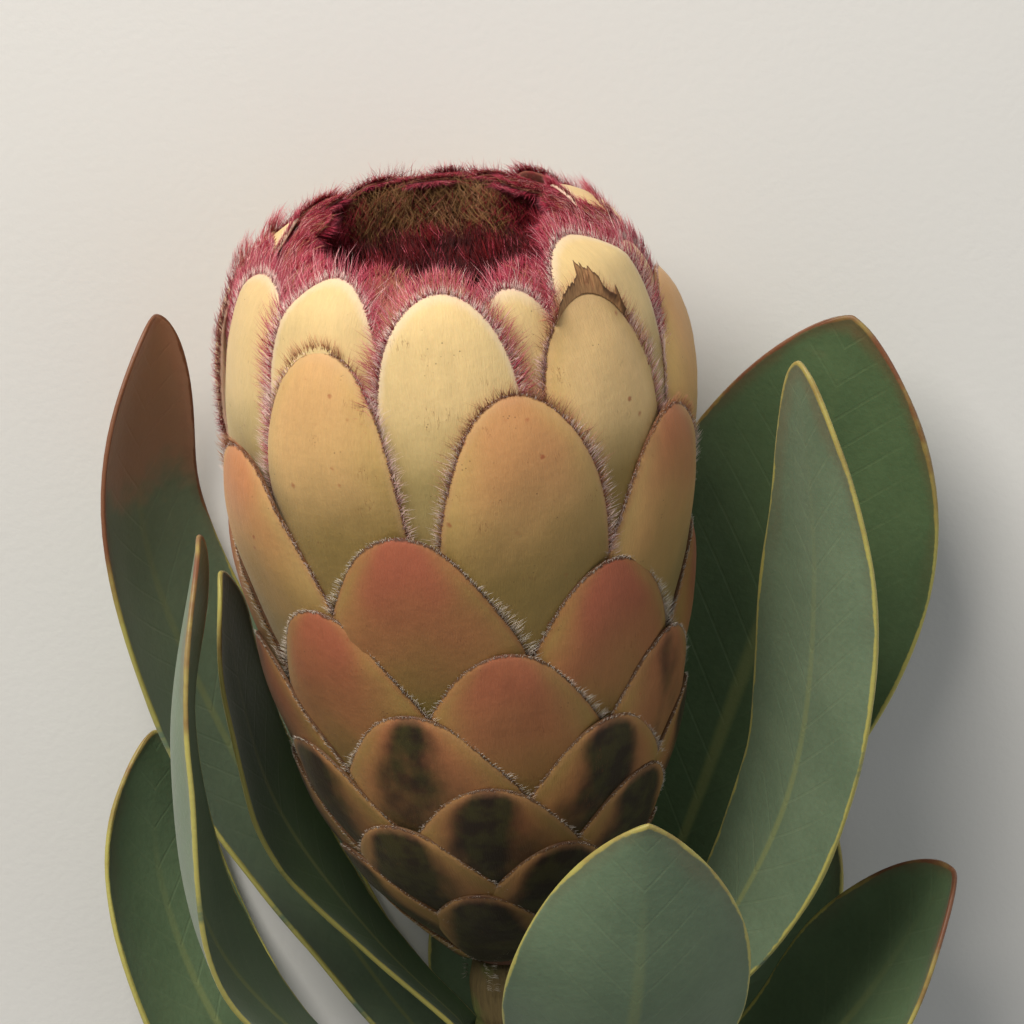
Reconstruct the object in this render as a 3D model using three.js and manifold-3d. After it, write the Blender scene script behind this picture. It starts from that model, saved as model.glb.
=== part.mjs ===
// A cut protea flower with its leaves, lying on its back as it would on a table.
//
// Millimetres, +Z up, the origin under the middle of the whole. The flower is shaped in a frame of
// its own: +Z runs up the stem to the tip, z = 0 is the foot of the head, and -Y is the side that
// faces up once it lies. At the end it is laid down and moved over the origin.

import * as THREE from 'three';
import { mergeVertices } from 'three/addons/utils/BufferGeometryUtils.js';
import Module from 'manifold-3d';

const wasm = await Module();
wasm.setup();

const DEG = Math.PI / 180;

// ---- driving dimensions ----

const LYING_TILT = 10.6 * DEG; // the stem rises this much from the table to the head
const GAP = 0.45; // left between pieces that touch
const FLAT_DEPTH = 0.2; // how far the stem's cut end is worn flat where it touches the table

// The head's outline: radius and height above the foot.
const HEAD_OUTLINE = [
  [8.5, 0], [19.5, 15], [25.2, 29], [29.2, 49], [31.7, 70], [31.2, 83], [27, 95], [17.5, 102], [12, 104],
];

// The bracts stand in one spiral, numbered from the lowest and outermost to the innermost.
const SPIRAL_STEP = -137.8 * DEG;
const SPIRAL_START = -15.5 * DEG; // where bract 0 stands, measured from -Y towards +X
const FIRST_BRACT = -38;
const LAST_OUTER = 0;
const LAST_MIDDLE = 10;
const LAST_BRACT = 34;
const BRACT_LENGTH = 36;
const TIP_THICKNESS = 1;
const ROOT_THICKNESS = 10;
const EDGE_DIP = 0.8; // how much lower a bract's edges lie than its middle
const LAYER = 0.15; // how much deeper each bract lies than the one before it
const SERIES_LAYERS = 11; // more layers between two series, so that each is a body of its own

const tipHeight = through([
  [-42, 8], [-34, 17], [-26, 28.5], [-16, 41], [-8, 53.5], [-3, 62.5], [0, 70.5], [3, 79],
  [5, 86.5], [8, 92.5], [10, 95.5], [13, 97.5], [18, 98.8], [24, 100.5], [34, 102.2],
]);
const bractHalfWidth = through([
  [-42, 5.5], [-34, 7], [-26, 9.2], [-13, 10.6], [0, 11.6], [8, 10], [13, 8.8], [20, 7.4], [34, 6.2],
]);
const tipRound = through([[-42, 8], [-26, 12], [-13, 15], [0, 19], [8, 20], [13, 16], [34, 12]]);

// The layer that lies on the outline at each height.
const outerLayer = through([
  [0, -46], [17, -34], [28.5, -26], [41, -16], [53.5, -6.5], [62.5, 1], [70.5, 7], [77, 12],
  [86.5, 17], [92.5, 21.5], [95.5, 27], [97, 33.5], [98.8, 40], [100.5, 47], [102.2, 56],
]);

// Bracts that stand a few degrees off the spiral.
const OFF_SPIRAL = new Map([
  [-18, -5], [-16, 7], [-13, 4], [-5, 4], [2, -7], [3, 5], [8, 4], [10, -5], [13, 7], [18, -4], [21, -5],
]);

const CUP_FLOOR = 30; // the outer series is solid up to here
const OUTER_SHEATH_TOP = 50;
const MIDDLE_SHEATH_TOP = 54;
const INNER_CORE_TOP = 82;
const BOWL_FOOT = 60;
const BOWL_RIM = 86; // the florets' bowl follows the innermost bracts above this height
const ABOVE_ALL = 120; // a height that clears the whole head

const FLORET_TOP = 95.5;
const FLORET_TUFTS = 52;
const TUFT_LENGTH = 6.5;
const TUFT_RADIUS = 1.7;

const STEM_LENGTH = 74;
const STEM_RADIUS = 4.9;
const STEM_TOP_RADIUS = 6;
const LEAF_SCARS = 6;
const SCAR_HEIGHT = 0.5;

const HEAD_SIDES = 24;
const STEM_SIDES = 14;

const LEAF_THICKNESS = 1.1;
const LEAF_MARGIN_THICKNESS = 0.8;
const LEAF_BASE_HALF = 4.2;
const LEAF_ROWS = 9;
const LEAF_COLUMNS = 6;
const LEAF_CLEARANCE = 1.1; // between a leaf's middle surface and the head or stem

// Each leaf: its midrib from the stem to the tip, half its greatest width, the way its inner face
// looks, how much its two sides cup towards that face, and how deeply its margins wave.
const LEAVES = {
  leaf_right_back: {
    midrib: [[5, 3, -19], [19, 12, -3], [34, 18, 27], [45, 19, 52], [52, 17, 76]],
    half: 20, face: [-0.35, -1, 0.1], cup: [0.12, 0.12], wave: 0.8,
  },
  leaf_right_front: {
    midrib: [[6, -2, -25], [22, -5, -6], [37.5, -9, 22], [43, -10, 52], [43, -8, 80]],
    half: 11.5, face: [-1, -0.45, 0], cup: [0.1, -0.15], wave: 0.7,
  },
  leaf_right_low: {
    midrib: [[6, 1, -41], [21, 1, -33], [41, -2, -17], [58, -5, 7]],
    half: 13, face: [-0.6, -0.5, 0.9], cup: [0.3, 0.3], wave: 0.6,
  },
  leaf_front: {
    midrib: [[1.5, -6, -30], [8, -19, -17], [14, -33, 4], [18.5, -38, 34]],
    half: 15.5, face: [-0.1, 1, 0.3], cup: [0.25, 0.32], wave: 0.8,
  },
  leaf_left_front: {
    midrib: [[-5.5, -4, -22], [-22, -15, -8], [-37, -18, 14], [-38.5, -16, 40], [-32.5, -12, 67]],
    half: 14, face: [1, -0.1, 0.2], cup: [0.25, 0.05], wave: 0.8,
  },
  leaf_left_inner: {
    midrib: [[-6, 1, -13], [-18, 5, 1], [-28.5, 7, 20], [-31.5, 5, 40], [-31, 2, 56]],
    half: 9, face: [1, -0.3, 0.1], cup: [0.12, 0.12], wave: 0.5,
  },
  leaf_left_back: {
    midrib: [[-5, 5, -27], [-19, 12, -8], [-34, 17, 24], [-42, 18, 58], [-36.5, 20, 85]],
    half: 12, face: [1, -0.8, 0], cup: [0.3, 0.2], wave: 1,
  },
  leaf_left_low: {
    midrib: [[-6, 0, -45], [-22, 1, -34], [-39, 6, -12], [-45.5, 13, 10], [-43.5, 16, 29]],
    half: 11, face: [0.7, -0.8, 0.3], cup: [0.2, 0.2], wave: 0.7,
  },
  leaf_back_right: {
    midrib: [[2.5, 6, -33], [12, 12, -26], [29, 16, -12], [40, 20, 12]],
    half: 12, face: [-0.2, -1, 0.2], cup: [0.06, 0.06], wave: 0.5,
  },
  leaf_back_middle: {
    midrib: [[0, 6.4, -38], [-1, 12, -30], [-2.5, 15, -16], [-4, 17, 5]],
    half: 8.5, face: [0, -1, 0.2], cup: [0.06, 0.06], wave: 0.4,
  },
};

const COLOURS = {
  outer_bracts: { color: 0x8a5a3a, roughness: 0.75 },
  middle_bracts: { color: 0xc39a5c, roughness: 0.7 },
  inner_bracts: { color: 0xd9c88f, roughness: 0.7 },
  florets: { color: 0x7a1230, roughness: 0.95 },
  stem: { color: 0x6b5a3a, roughness: 0.85 },
  leaf: { color: 0x5c7552, roughness: 0.55 },
};

// ---- helpers ----

/** The function that runs straight from each [x, y] pair to the next. */
function through(pairs) {
  return (x) => {
    const next = pairs.findIndex(([at]) => at > x);
    if (next === 0) return pairs[0][1];
    if (next < 0) return pairs.at(-1)[1];
    const [x0, y0] = pairs[next - 1];
    const [x1, y1] = pairs[next];
    return y0 + ((y1 - y0) * (x - x0)) / (x1 - x0);
  };
}

const smooth = (x) => THREE.MathUtils.smoothstep(x, 0, 1);

/** Random numbers from 0 to 1, the same each time. */
function seeded(seed) {
  let state = seed;
  return () => {
    state = (state * 16807) % 2147483647;
    return state / 2147483647;
  };
}

/** A geometry of positions alone, with corners that meet made one and the faces this shuts dropped. */
function welded(geometry) {
  geometry.deleteAttribute('normal');
  geometry.deleteAttribute('uv');
  const merged = mergeVertices(geometry, 1e-4);
  const index = merged.index.array;
  const faces = [];
  for (let i = 0; i < index.length; i += 3) {
    const [a, b, c] = index.slice(i, i + 3);
    if (a !== b && b !== c && c !== a) faces.push([a, b, c]);
  }
  merged.setIndex(faces.flat());
  return { merged, faces };
}

/** A closed solid from a geometry, its faces turned outwards. */
function solidOf(geometry) {
  const { merged, faces } = welded(geometry);
  const place = merged.attributes.position.array;
  const corner = (i) => new THREE.Vector3().fromArray(place, 3 * i);
  const volume = faces.reduce((sum, [a, b, c]) => sum + corner(a).dot(corner(b).cross(corner(c))), 0);
  if (volume < 0) faces.forEach((face) => face.reverse());
  const vertProperties = new Float32Array(place);
  const triVerts = new Uint32Array(faces.flat());
  return new wasm.Manifold(new wasm.Mesh({ numProp: 3, vertProperties, triVerts }));
}

/** A closed slab between two grids of points of the same size, one over the other. */
function slab(upper, lower) {
  const rows = upper.length;
  const columns = upper[0].length;
  const at = (side, i, j) => (side * rows + i) * columns + j;
  const index = [];
  const quad = (a, b, c, d) => index.push(a, b, c, a, c, d);
  for (let i = 0; i < rows - 1; i++) {
    for (let j = 0; j < columns - 1; j++) {
      quad(at(0, i, j), at(0, i + 1, j), at(0, i + 1, j + 1), at(0, i, j + 1));
      quad(at(1, i, j), at(1, i, j + 1), at(1, i + 1, j + 1), at(1, i + 1, j));
    }
    quad(at(0, i + 1, 0), at(0, i, 0), at(1, i, 0), at(1, i + 1, 0));
    const j = columns - 1;
    quad(at(0, i, j), at(0, i + 1, j), at(1, i + 1, j), at(1, i, j));
  }
  for (let j = 0; j < columns - 1; j++) {
    quad(at(0, 0, j), at(0, 0, j + 1), at(1, 0, j + 1), at(1, 0, j));
    const i = rows - 1;
    quad(at(0, i, j + 1), at(0, i, j), at(1, i, j), at(1, i, j + 1));
  }
  const geometry = new THREE.BufferGeometry();
  const points = [...upper.flat(), ...lower.flat()].flatMap((p) => p.toArray());
  geometry.setAttribute('position', new THREE.Float32BufferAttribute(points, 3));
  geometry.setIndex(index);
  return solidOf(geometry);
}

/** The solid turned round +Z from [radius, height] pairs that start and end on the axis. */
function turned(profile, sides = HEAD_SIDES) {
  const points = profile.map(([r, z]) => new THREE.Vector2(r, z));
  const geometry = new THREE.LatheGeometry(points, sides);
  geometry.rotateX(Math.PI / 2);
  return solidOf(geometry);
}

const joined = (solids) => solids.reduce((all, next) => all.add(next));

/** The largest body of a solid: hollows that joining sealed are filled and loose scraps dropped. */
function oneBody(solid) {
  const bodies = solid.decompose();
  return bodies.reduce((best, body) => (body.volume() > best.volume() ? body : best));
}

// ---- the table that the flower lies on, seen from the flower's frame ----

const UP = new THREE.Vector3(0, -Math.cos(LYING_TILT), Math.sin(LYING_TILT));
const LIFT = STEM_LENGTH * Math.sin(LYING_TILT) + STEM_RADIUS * Math.cos(LYING_TILT) - FLAT_DEPTH;

/** What is left of a solid above the table. */
const aboveTable = (solid) => solid.trimByPlane(UP.toArray(), -LIFT);

// ---- the head ----

const outline = new THREE.SplineCurve(HEAD_OUTLINE.map(([r, z]) => new THREE.Vector2(r, z)));
outline.arcLengthDivisions = 400;
const outlineLength = outline.getLength();
const OUTLINE_STEPS = 400;
const arcAt = through(
  Array.from({ length: OUTLINE_STEPS + 1 }, (_, i) => [
    outline.getPointAt(i / OUTLINE_STEPS).y,
    (outlineLength * i) / OUTLINE_STEPS,
  ]),
);

/** Radius and height at a length along the outline, sunk square to it by a depth. */
function sunkOutline(arc, depth) {
  const along = THREE.MathUtils.clamp(arc / outlineLength, 0, 1);
  const point = outline.getPointAt(along);
  const way = outline.getTangentAt(along);
  return [point.x - depth * way.y, point.y + depth * way.x];
}

const radiusAt = (height) => sunkOutline(arcAt(height), 0)[0];

/** How deep a layer lies under the outline at a height. */
const layerDepth = (layer, height) => LAYER * (layer - outerLayer(height));

/** The layer of a bract: its number, with room left between the series. */
function layerOf(bract) {
  if (bract <= LAST_OUTER) return bract;
  return bract + SERIES_LAYERS * (bract <= LAST_MIDDLE ? 1 : 2);
}

/** One bract as a block that reaches from its outer face well into the head. */
function bractBlock(number) {
  const tipArc = arcAt(tipHeight(number));
  const length = Math.min(BRACT_LENGTH, tipArc - 1);
  const round = tipRound(number);
  const angle = SPIRAL_START + SPIRAL_STEP * number + (OFF_SPIRAL.get(number) ?? 0) * DEG;
  const fromTip = [0, 0.06, 0.3, 1].map((part) => round * part);
  fromTip.push(round + (length - round) * 0.5, length);
  const columns = [-1, -0.5, 0.5, 1];
  const face = (inner) =>
    fromTip.map((down) => {
      const [edge, height] = sunkOutline(tipArc - down, 0);
      const depth = layerDepth(layerOf(number), height);
      const rounding = down < round ? Math.sqrt(1 - (1 - down / round) ** 2) : 1;
      const half = (bractHalfWidth(number) * rounding) / Math.max(edge - depth, 5);
      const dip = down ? EDGE_DIP * (1 - smooth((down - round) / 14)) : 0;
      const thickness = TIP_THICKNESS + (ROOT_THICKNESS - TIP_THICKNESS) * smooth(down / (1.4 * round));
      return columns.map((across) => {
        const sunk = depth + dip * across ** 2 + (inner ? thickness : 0);
        const [r, z] = sunkOutline(tipArc - down, sunk);
        const turn = angle + half * across;
        return new THREE.Vector3(Math.max(r, 0.5) * Math.sin(turn), -Math.max(r, 0.5) * Math.cos(turn), z);
      });
    });
  return slab(face(false), face(true));
}

function bractBlocks(first, last) {
  return Array.from({ length: last - first + 1 }, (_, i) => bractBlock(first + i));
}

/** [radius, height] pairs along a layer between two heights of the outline. */
function layerProfile(layer, from, to, steps) {
  return Array.from({ length: steps + 1 }, (_, i) => {
    const height = from + ((to - from) * i) / steps;
    return sunkOutline(arcAt(height), layerDepth(layer, height));
  });
}

/** Everything inside a layer, from a flat floor up and out through the mouth. */
function insideLayer(layer, floor) {
  const wall = layerProfile(layer, floor, 103, 9);
  const [mouthRadius] = wall.at(-1);
  return turned([[0, floor], ...wall, [mouthRadius, ABOVE_ALL], [0, ABOVE_ALL]]);
}

/** Everything under a height. */
function below(height) {
  return turned([[0, -ABOVE_ALL], [ABOVE_ALL, -ABOVE_ALL], [ABOVE_ALL, height], [0, height]]);
}

// The walls between the series, and the bowl under the innermost bracts, as layers.
const OUTER_WALL = layerOf(LAST_OUTER + 1) - GAP / LAYER;
const MIDDLE_WALL = layerOf(LAST_MIDDLE + 1) - GAP / LAYER;
const BOWL_WALL = layerOf(LAST_BRACT) + 1.2 / LAYER;

/** The lowest bracts, on the solid foot of the head, hollow above it for the series inside. */
function outerBracts() {
  const foot = [0, 6, 15, 22].map((height) => [radiusAt(height) - 3.5, height]);
  const sheath = layerProfile(LAST_OUTER + 2, CUP_FLOOR, OUTER_SHEATH_TOP, 4);
  const core = turned([[0, 0], ...foot, ...sheath, [0, OUTER_SHEATH_TOP]]);
  const whole = joined([core, ...bractBlocks(FIRST_BRACT, LAST_OUTER)]);
  return aboveTable(oneBody(whole.subtract(below(0)).subtract(insideLayer(OUTER_WALL, CUP_FLOOR))));
}

/** The bracts of the middle, on a sleeve that stands on the floor of the outer series. */
function middleBracts() {
  const floor = CUP_FLOOR + GAP;
  const sheath = layerProfile(layerOf(LAST_MIDDLE) + 1, floor, MIDDLE_SHEATH_TOP, 4);
  const core = turned([[0, floor], ...sheath, [0, MIDDLE_SHEATH_TOP]]);
  const whole = joined([core, ...bractBlocks(LAST_OUTER + 1, LAST_MIDDLE)]);
  return oneBody(whole.subtract(below(floor)).subtract(insideLayer(MIDDLE_WALL, CUP_FLOOR)));
}

/** The bowl in the head's mouth, made smaller by a gap. */
function bowlProfile(gap) {
  const rim = layerProfile(BOWL_WALL, BOWL_RIM, 102, 6).map(([r, z]) => [r - gap, z]);
  const foot = [[0, BOWL_FOOT + gap], [9 - gap, BOWL_FOOT + 1 + gap], [14 - gap, BOWL_FOOT + 12]];
  return [...foot, ...rim];
}

/** The innermost bracts, on a solid core with the bowl for the florets sunk into it. */
function innerBracts() {
  const floor = CUP_FLOOR + GAP;
  const sheath = layerProfile(layerOf(LAST_BRACT) + 1, floor, INNER_CORE_TOP, 6);
  const core = turned([[0, floor], ...sheath, [0, INNER_CORE_TOP]]);
  const whole = joined([core, ...bractBlocks(LAST_MIDDLE + 1, LAST_BRACT)]);
  const bowl = bowlProfile(0);
  const mouth = turned([...bowl, [bowl.at(-1)[0], ABOVE_ALL], [0, ABOVE_ALL]]);
  return oneBody(whole.subtract(below(floor)).subtract(mouth));
}

/** A four-sided pointed tuft from a foot to a tip. */
function tuft(foot, tip) {
  const axis = tip.clone().sub(foot);
  const cone = new THREE.ConeGeometry(TUFT_RADIUS, axis.length(), 4, 1);
  const upright = new THREE.Vector3(0, 1, 0);
  cone.applyQuaternion(new THREE.Quaternion().setFromUnitVectors(upright, axis.clone().normalize()));
  const middle = foot.clone().add(tip).multiplyScalar(0.5);
  cone.translate(middle.x, middle.y, middle.z);
  return solidOf(cone);
}

function florets() {
  const random = seeded(71);
  const wall = bowlProfile(GAP).filter(([, z]) => z <= BOWL_RIM + 3);
  const [domeRadius, domeFoot] = wall.at(-1);
  const dome = [20, 42, 64].map((turn) => [
    domeRadius * Math.cos(turn * DEG),
    domeFoot + (FLORET_TOP - domeFoot) * Math.sin(turn * DEG),
  ]);
  const core = turned([...wall, ...dome, [0, FLORET_TOP]]);
  const tufts = Array.from({ length: FLORET_TUFTS }, (_, i) => {
    const out = Math.sqrt((i + 0.5) / FLORET_TUFTS);
    const turn = i * SPIRAL_STEP;
    const radius = out * (domeRadius - 3);
    const height = domeFoot + (FLORET_TOP - domeFoot) * Math.sqrt(1 - (radius / domeRadius) ** 2);
    const foot = new THREE.Vector3(radius * Math.sin(turn), -radius * Math.cos(turn), height - 1.5);
    const rise = TUFT_LENGTH * (0.75 + 0.4 * random());
    const lean = radius * (0.92 - 0.1 * random());
    return tuft(foot, new THREE.Vector3(lean * Math.sin(turn), -lean * Math.cos(turn), foot.z + rise));
  });
  return oneBody(joined([core, ...tufts]));
}

// ---- the stem ----

function stem() {
  const top = -GAP;
  const profile = [[0, -STEM_LENGTH], [STEM_RADIUS, -STEM_LENGTH]];
  for (let i = 0; i < LEAF_SCARS; i++) {
    const height = -58 + (i * 50) / (LEAF_SCARS - 1);
    const radius = THREE.MathUtils.lerp(STEM_RADIUS, STEM_TOP_RADIUS, (i + 1) / (LEAF_SCARS + 2));
    profile.push([radius - SCAR_HEIGHT, height - 1.6], [radius, height]);
  }
  profile.push([STEM_TOP_RADIUS, -5], [STEM_TOP_RADIUS - 0.8, top], [0, top]);
  return oneBody(aboveTable(turned(profile, STEM_SIDES)));
}

// ---- the leaves ----

/** Pushes a point away from a bound, softly, so that its value never falls below it. */
function keepAbove(value, bound, softness) {
  const over = (value - bound) / softness;
  return over > 20 ? value : bound + softness * Math.log1p(Math.exp(over));
}

/** A leaf's point bent clear of the stem, the head and the table. */
function bentClear(point) {
  const height = THREE.MathUtils.clamp(point.z, 0, 104);
  const stemBound = STEM_TOP_RADIUS;
  const bound = point.z < -6 ? stemBound : Math.max(stemBound, radiusAt(height) * smooth((point.z + 6) / 8));
  const radius = Math.hypot(point.x, point.y);
  const scale = keepAbove(radius, bound + LEAF_CLEARANCE, 0.5) / radius;
  const clear = new THREE.Vector3(point.x * scale, point.y * scale, point.z);
  const over = clear.dot(UP) + LIFT;
  return clear.addScaledVector(UP, keepAbove(over, LEAF_THICKNESS / 2 + 0.05, 0.8) - over);
}

/** Half the leaf's width at a part of its length, as a share of its greatest half width. */
function leafWidth(along, baseShare) {
  const widest = 0.64;
  if (along > widest) return Math.sqrt(Math.max(0, 1 - ((along - widest) / (1 - widest)) ** 2));
  return baseShare + (1 - baseShare) * smooth(along / widest) ** 0.9;
}

/** The leaf's middle surface: rows of points from the tip down to the stem. */
function leafSurface({ midrib, half, face, cup, wave }) {
  const curve = new THREE.CatmullRomCurve3(midrib.map((p) => new THREE.Vector3(...p)));
  const looks = new THREE.Vector3(...face).normalize();
  const foot = new THREE.Vector3(-midrib[0][0], -midrib[0][1], 0).normalize();
  return Array.from({ length: LEAF_ROWS + 1 }, (_, i) => {
    const along = 1 - (i / LEAF_ROWS) ** 1.35;
    const point = curve.getPointAt(along);
    const way = curve.getTangentAt(along);
    const inner = foot.clone().lerp(looks, smooth(along * 2.2));
    inner.addScaledVector(way, -inner.dot(way)).normalize();
    const side = way.clone().cross(inner);
    const share = leafWidth(along, LEAF_BASE_HALF / half);
    const width = half * share;
    return Array.from({ length: LEAF_COLUMNS + 1 }, (_, j) => {
      const across = (2 * j) / LEAF_COLUMNS - 1;
      const rise = width * cup[across < 0 ? 0 : 1] * across ** 2;
      const ripple = wave * share * Math.sin(along * 13 + across * 1.3) * across ** 2 * smooth(along * 3);
      const blade = point.clone().addScaledVector(side, width * across);
      return bentClear(blade.addScaledVector(inner, rise + ripple));
    });
  });
}

/** The surface's normal at each point of a grid, from its neighbours. */
function gridNormals(grid) {
  const step = (list, i) => [list[Math.max(i - 1, 0)], list[Math.min(i + 1, list.length - 1)]];
  return grid.map((row, i) =>
    row.map((_, j) => {
      const [above, below] = step(grid, Math.max(i, 1)).map((line) => line[j]);
      const [left, right] = step(grid[Math.max(i, 1)], j);
      return below.clone().sub(above).cross(right.clone().sub(left)).normalize();
    }),
  );
}

function leaf(shape) {
  const middle = leafSurface(shape);
  const normals = gridNormals(middle);
  const side = (way) =>
    middle.map((row, i) =>
      row.map((point, j) => {
        const across = (2 * j) / LEAF_COLUMNS - 1;
        const nearMargin = i === 0 ? 1 : across ** 2;
        const thickness = THREE.MathUtils.lerp(LEAF_THICKNESS, LEAF_MARGIN_THICKNESS, nearMargin);
        const normal = i === 0 ? normals[0][LEAF_COLUMNS / 2] : normals[i][j];
        return point.clone().addScaledVector(normal, (way * thickness) / 2);
      }),
    );
  return slab(side(1), side(-1));
}

// ---- the whole flower ----

/** A named mesh from a solid. */
function piece(name, solid, look) {
  const { vertProperties, triVerts } = solid.getMesh();
  const cut = new THREE.BufferGeometry();
  cut.setAttribute('position', new THREE.Float32BufferAttribute(vertProperties, 3));
  cut.setIndex(Array.from(triVerts));
  const geometry = welded(cut).merged;
  geometry.computeVertexNormals();
  const mesh = new THREE.Mesh(geometry, new THREE.MeshStandardMaterial({ ...look, metalness: 0 }));
  mesh.name = name;
  return mesh;
}

const flower = new THREE.Group();
flower.add(
  piece('stem', stem(), COLOURS.stem),
  piece('outer_bracts', outerBracts(), COLOURS.outer_bracts),
  piece('middle_bracts', middleBracts(), COLOURS.middle_bracts),
  piece('inner_bracts', innerBracts(), COLOURS.inner_bracts),
  piece('florets', florets(), COLOURS.florets),
);
for (const [name, shape] of Object.entries(LEAVES)) flower.add(piece(name, leaf(shape), COLOURS.leaf));

flower.rotation.x = -(Math.PI / 2 - LYING_TILT);
flower.position.z = LIFT;
flower.updateMatrixWorld(true);

const box = new THREE.Box3().setFromObject(flower, true);
const middle = box.getCenter(new THREE.Vector3());
flower.position.set(-middle.x, -middle.y, LIFT);
flower.updateMatrixWorld(true);

const part = new THREE.Group();
part.add(flower);

export default part;
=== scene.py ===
# %% [markdown]
# # A cut protea flower, lying on a table
#
# The flower is a closed head of overlapping leathery bracts round a furry crimson mouth, on a woody
# stem with broad leaves. The solids of the CAD model give every piece its place and its size. This
# notebook replaces each of them with a finer piece of the same form, and gives it its finish.

# %% Load the CAD model as a fixed frame
import math

import bmesh
import bpy
import numpy as np
from mathutils import Matrix, Vector


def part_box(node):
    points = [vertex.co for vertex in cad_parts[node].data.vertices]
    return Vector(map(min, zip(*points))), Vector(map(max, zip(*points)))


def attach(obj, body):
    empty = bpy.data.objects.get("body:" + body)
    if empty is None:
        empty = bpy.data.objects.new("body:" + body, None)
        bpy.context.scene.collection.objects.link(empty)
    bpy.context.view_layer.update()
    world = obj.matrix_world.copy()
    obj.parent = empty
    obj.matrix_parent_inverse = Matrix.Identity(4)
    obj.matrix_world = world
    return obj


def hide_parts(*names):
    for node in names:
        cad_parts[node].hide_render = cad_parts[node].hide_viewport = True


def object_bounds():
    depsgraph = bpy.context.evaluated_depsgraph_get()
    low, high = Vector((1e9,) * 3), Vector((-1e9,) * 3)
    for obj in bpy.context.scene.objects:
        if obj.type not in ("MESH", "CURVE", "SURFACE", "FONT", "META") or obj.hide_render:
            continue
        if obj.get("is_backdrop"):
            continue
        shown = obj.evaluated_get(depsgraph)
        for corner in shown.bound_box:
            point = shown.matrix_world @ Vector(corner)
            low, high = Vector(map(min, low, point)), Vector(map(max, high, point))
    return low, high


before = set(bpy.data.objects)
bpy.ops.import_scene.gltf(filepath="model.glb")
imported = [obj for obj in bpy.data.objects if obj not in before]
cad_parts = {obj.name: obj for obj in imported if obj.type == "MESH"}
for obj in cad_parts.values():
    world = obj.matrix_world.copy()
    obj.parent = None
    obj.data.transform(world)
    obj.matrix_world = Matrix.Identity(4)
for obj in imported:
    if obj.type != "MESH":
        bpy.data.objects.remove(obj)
cad_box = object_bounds()
print("CAD nodes:", ", ".join(sorted(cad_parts)))


def add_object(name, data):
    """A new object with the given data, put into the scene."""
    made = bpy.data.objects.new(name, data)
    bpy.context.scene.collection.objects.link(made)
    return made


# %% [markdown]
# ## The flower's own frame
#
# A flower is easiest to shape upright: Z runs up the stem to the tip, Z = 0 is the foot of the
# head, and -Y is the side that faces up once it lies. All sizes below are millimetres in that
# frame. One matrix then shrinks a mesh to metres, lays it down and moves it to its place, so each
# finished object can stay at the origin, unturned.

# %% Lay the flower's frame into the room
MM = 0.001
LYING_TILT = math.radians(10.6)
STEM_LENGTH = 74
STEM_RADIUS = 4.9
FLAT_DEPTH = 0.2

rise = math.sin(LYING_TILT)
run = math.cos(LYING_TILT)
LIFT = STEM_LENGTH * rise + STEM_RADIUS * run - FLAT_DEPTH
stem_low, stem_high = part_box("stem")
foot_place = Vector((
    (stem_low.x + stem_high.x) / 2,
    stem_low.y + (STEM_LENGTH * run + STEM_RADIUS * rise) * MM,
    LIFT * MM,
))
lay_down = Matrix.Rotation(LYING_TILT - math.pi / 2, 4, "X")
FLOWER = Matrix.Translation(foot_place) @ lay_down @ Matrix.Scale(MM, 4)
UP = np.array([0, -run, rise])
print("The foot of the head is at", [round(v, 4) for v in foot_place])

# %% [markdown]
# ## Camera
#
# The camera comes first, because every detail is judged through it. The flower lies on its back
# and the camera looks down on it, raised a little towards the tip, so that the mouth shows as an
# oval. A long lens from half a metre keeps the head nearly parallel, as a portrait lens does.

# %% Place the camera
HEAD_HEIGHT = 104
LOOKS_OVER_TIP = math.radians(22)
LEANS_LEFT = math.radians(6)
CAMERA_DISTANCE = 620
PIXELS_PER_MM = 7.9
FRAME_PIXELS = 1024
AIM_HEIGHT = 50
FOOT_PIXEL = (511, 947)

axis = np.array([0, run, rise])
front = np.array([0, -rise, run])
right = np.array([1.0, 0, 0])
back = front * math.cos(LOOKS_OVER_TIP) + axis * math.sin(LOOKS_OVER_TIP)
level_up = axis * math.cos(LOOKS_OVER_TIP) - front * math.sin(LOOKS_OVER_TIP)
view_up = level_up * math.cos(LEANS_LEFT) + right * math.sin(LEANS_LEFT)
view_right = right * math.cos(LEANS_LEFT) - level_up * math.sin(LEANS_LEFT)
foot = np.array(foot_place) / MM
aim = foot + axis * AIM_HEIGHT
to_foot = foot - aim
nearer = CAMERA_DISTANCE / (CAMERA_DISTANCE - to_foot @ back)
foot_right = (FOOT_PIXEL[0] - FRAME_PIXELS / 2) / PIXELS_PER_MM / nearer
foot_up = (FRAME_PIXELS / 2 - FOOT_PIXEL[1]) / PIXELS_PER_MM / nearer
centre = aim + view_right * (to_foot @ view_right - foot_right) + view_up * (to_foot @ view_up - foot_up)

camera_data = bpy.data.cameras.new("camera")
camera_data.sensor_width = 36
camera_data.lens = camera_data.sensor_width * CAMERA_DISTANCE / (FRAME_PIXELS / PIXELS_PER_MM)
camera = add_object("camera", camera_data)
turn = Matrix((view_right, view_up, back)).transposed().to_4x4()
camera.matrix_world = Matrix.Translation(Vector((centre + back * CAMERA_DISTANCE) * MM)) @ turn
bpy.context.scene.camera = camera
print("Camera lens", round(camera_data.lens, 1), "mm at", [round(v, 3) for v in camera.location])

# %% [markdown]
# ## Light
#
# The room is plain, with soft studio lights. The main light stands past the tip of the flower, so
# the crown of the head is bright and the foot falls into shade. A large lamp gives soft edges to
# its shadows, and the grey world fills them.

# %% Hang the lights
HEAD_MIDDLE = Vector((0, 0.02, 0.03))


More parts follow.
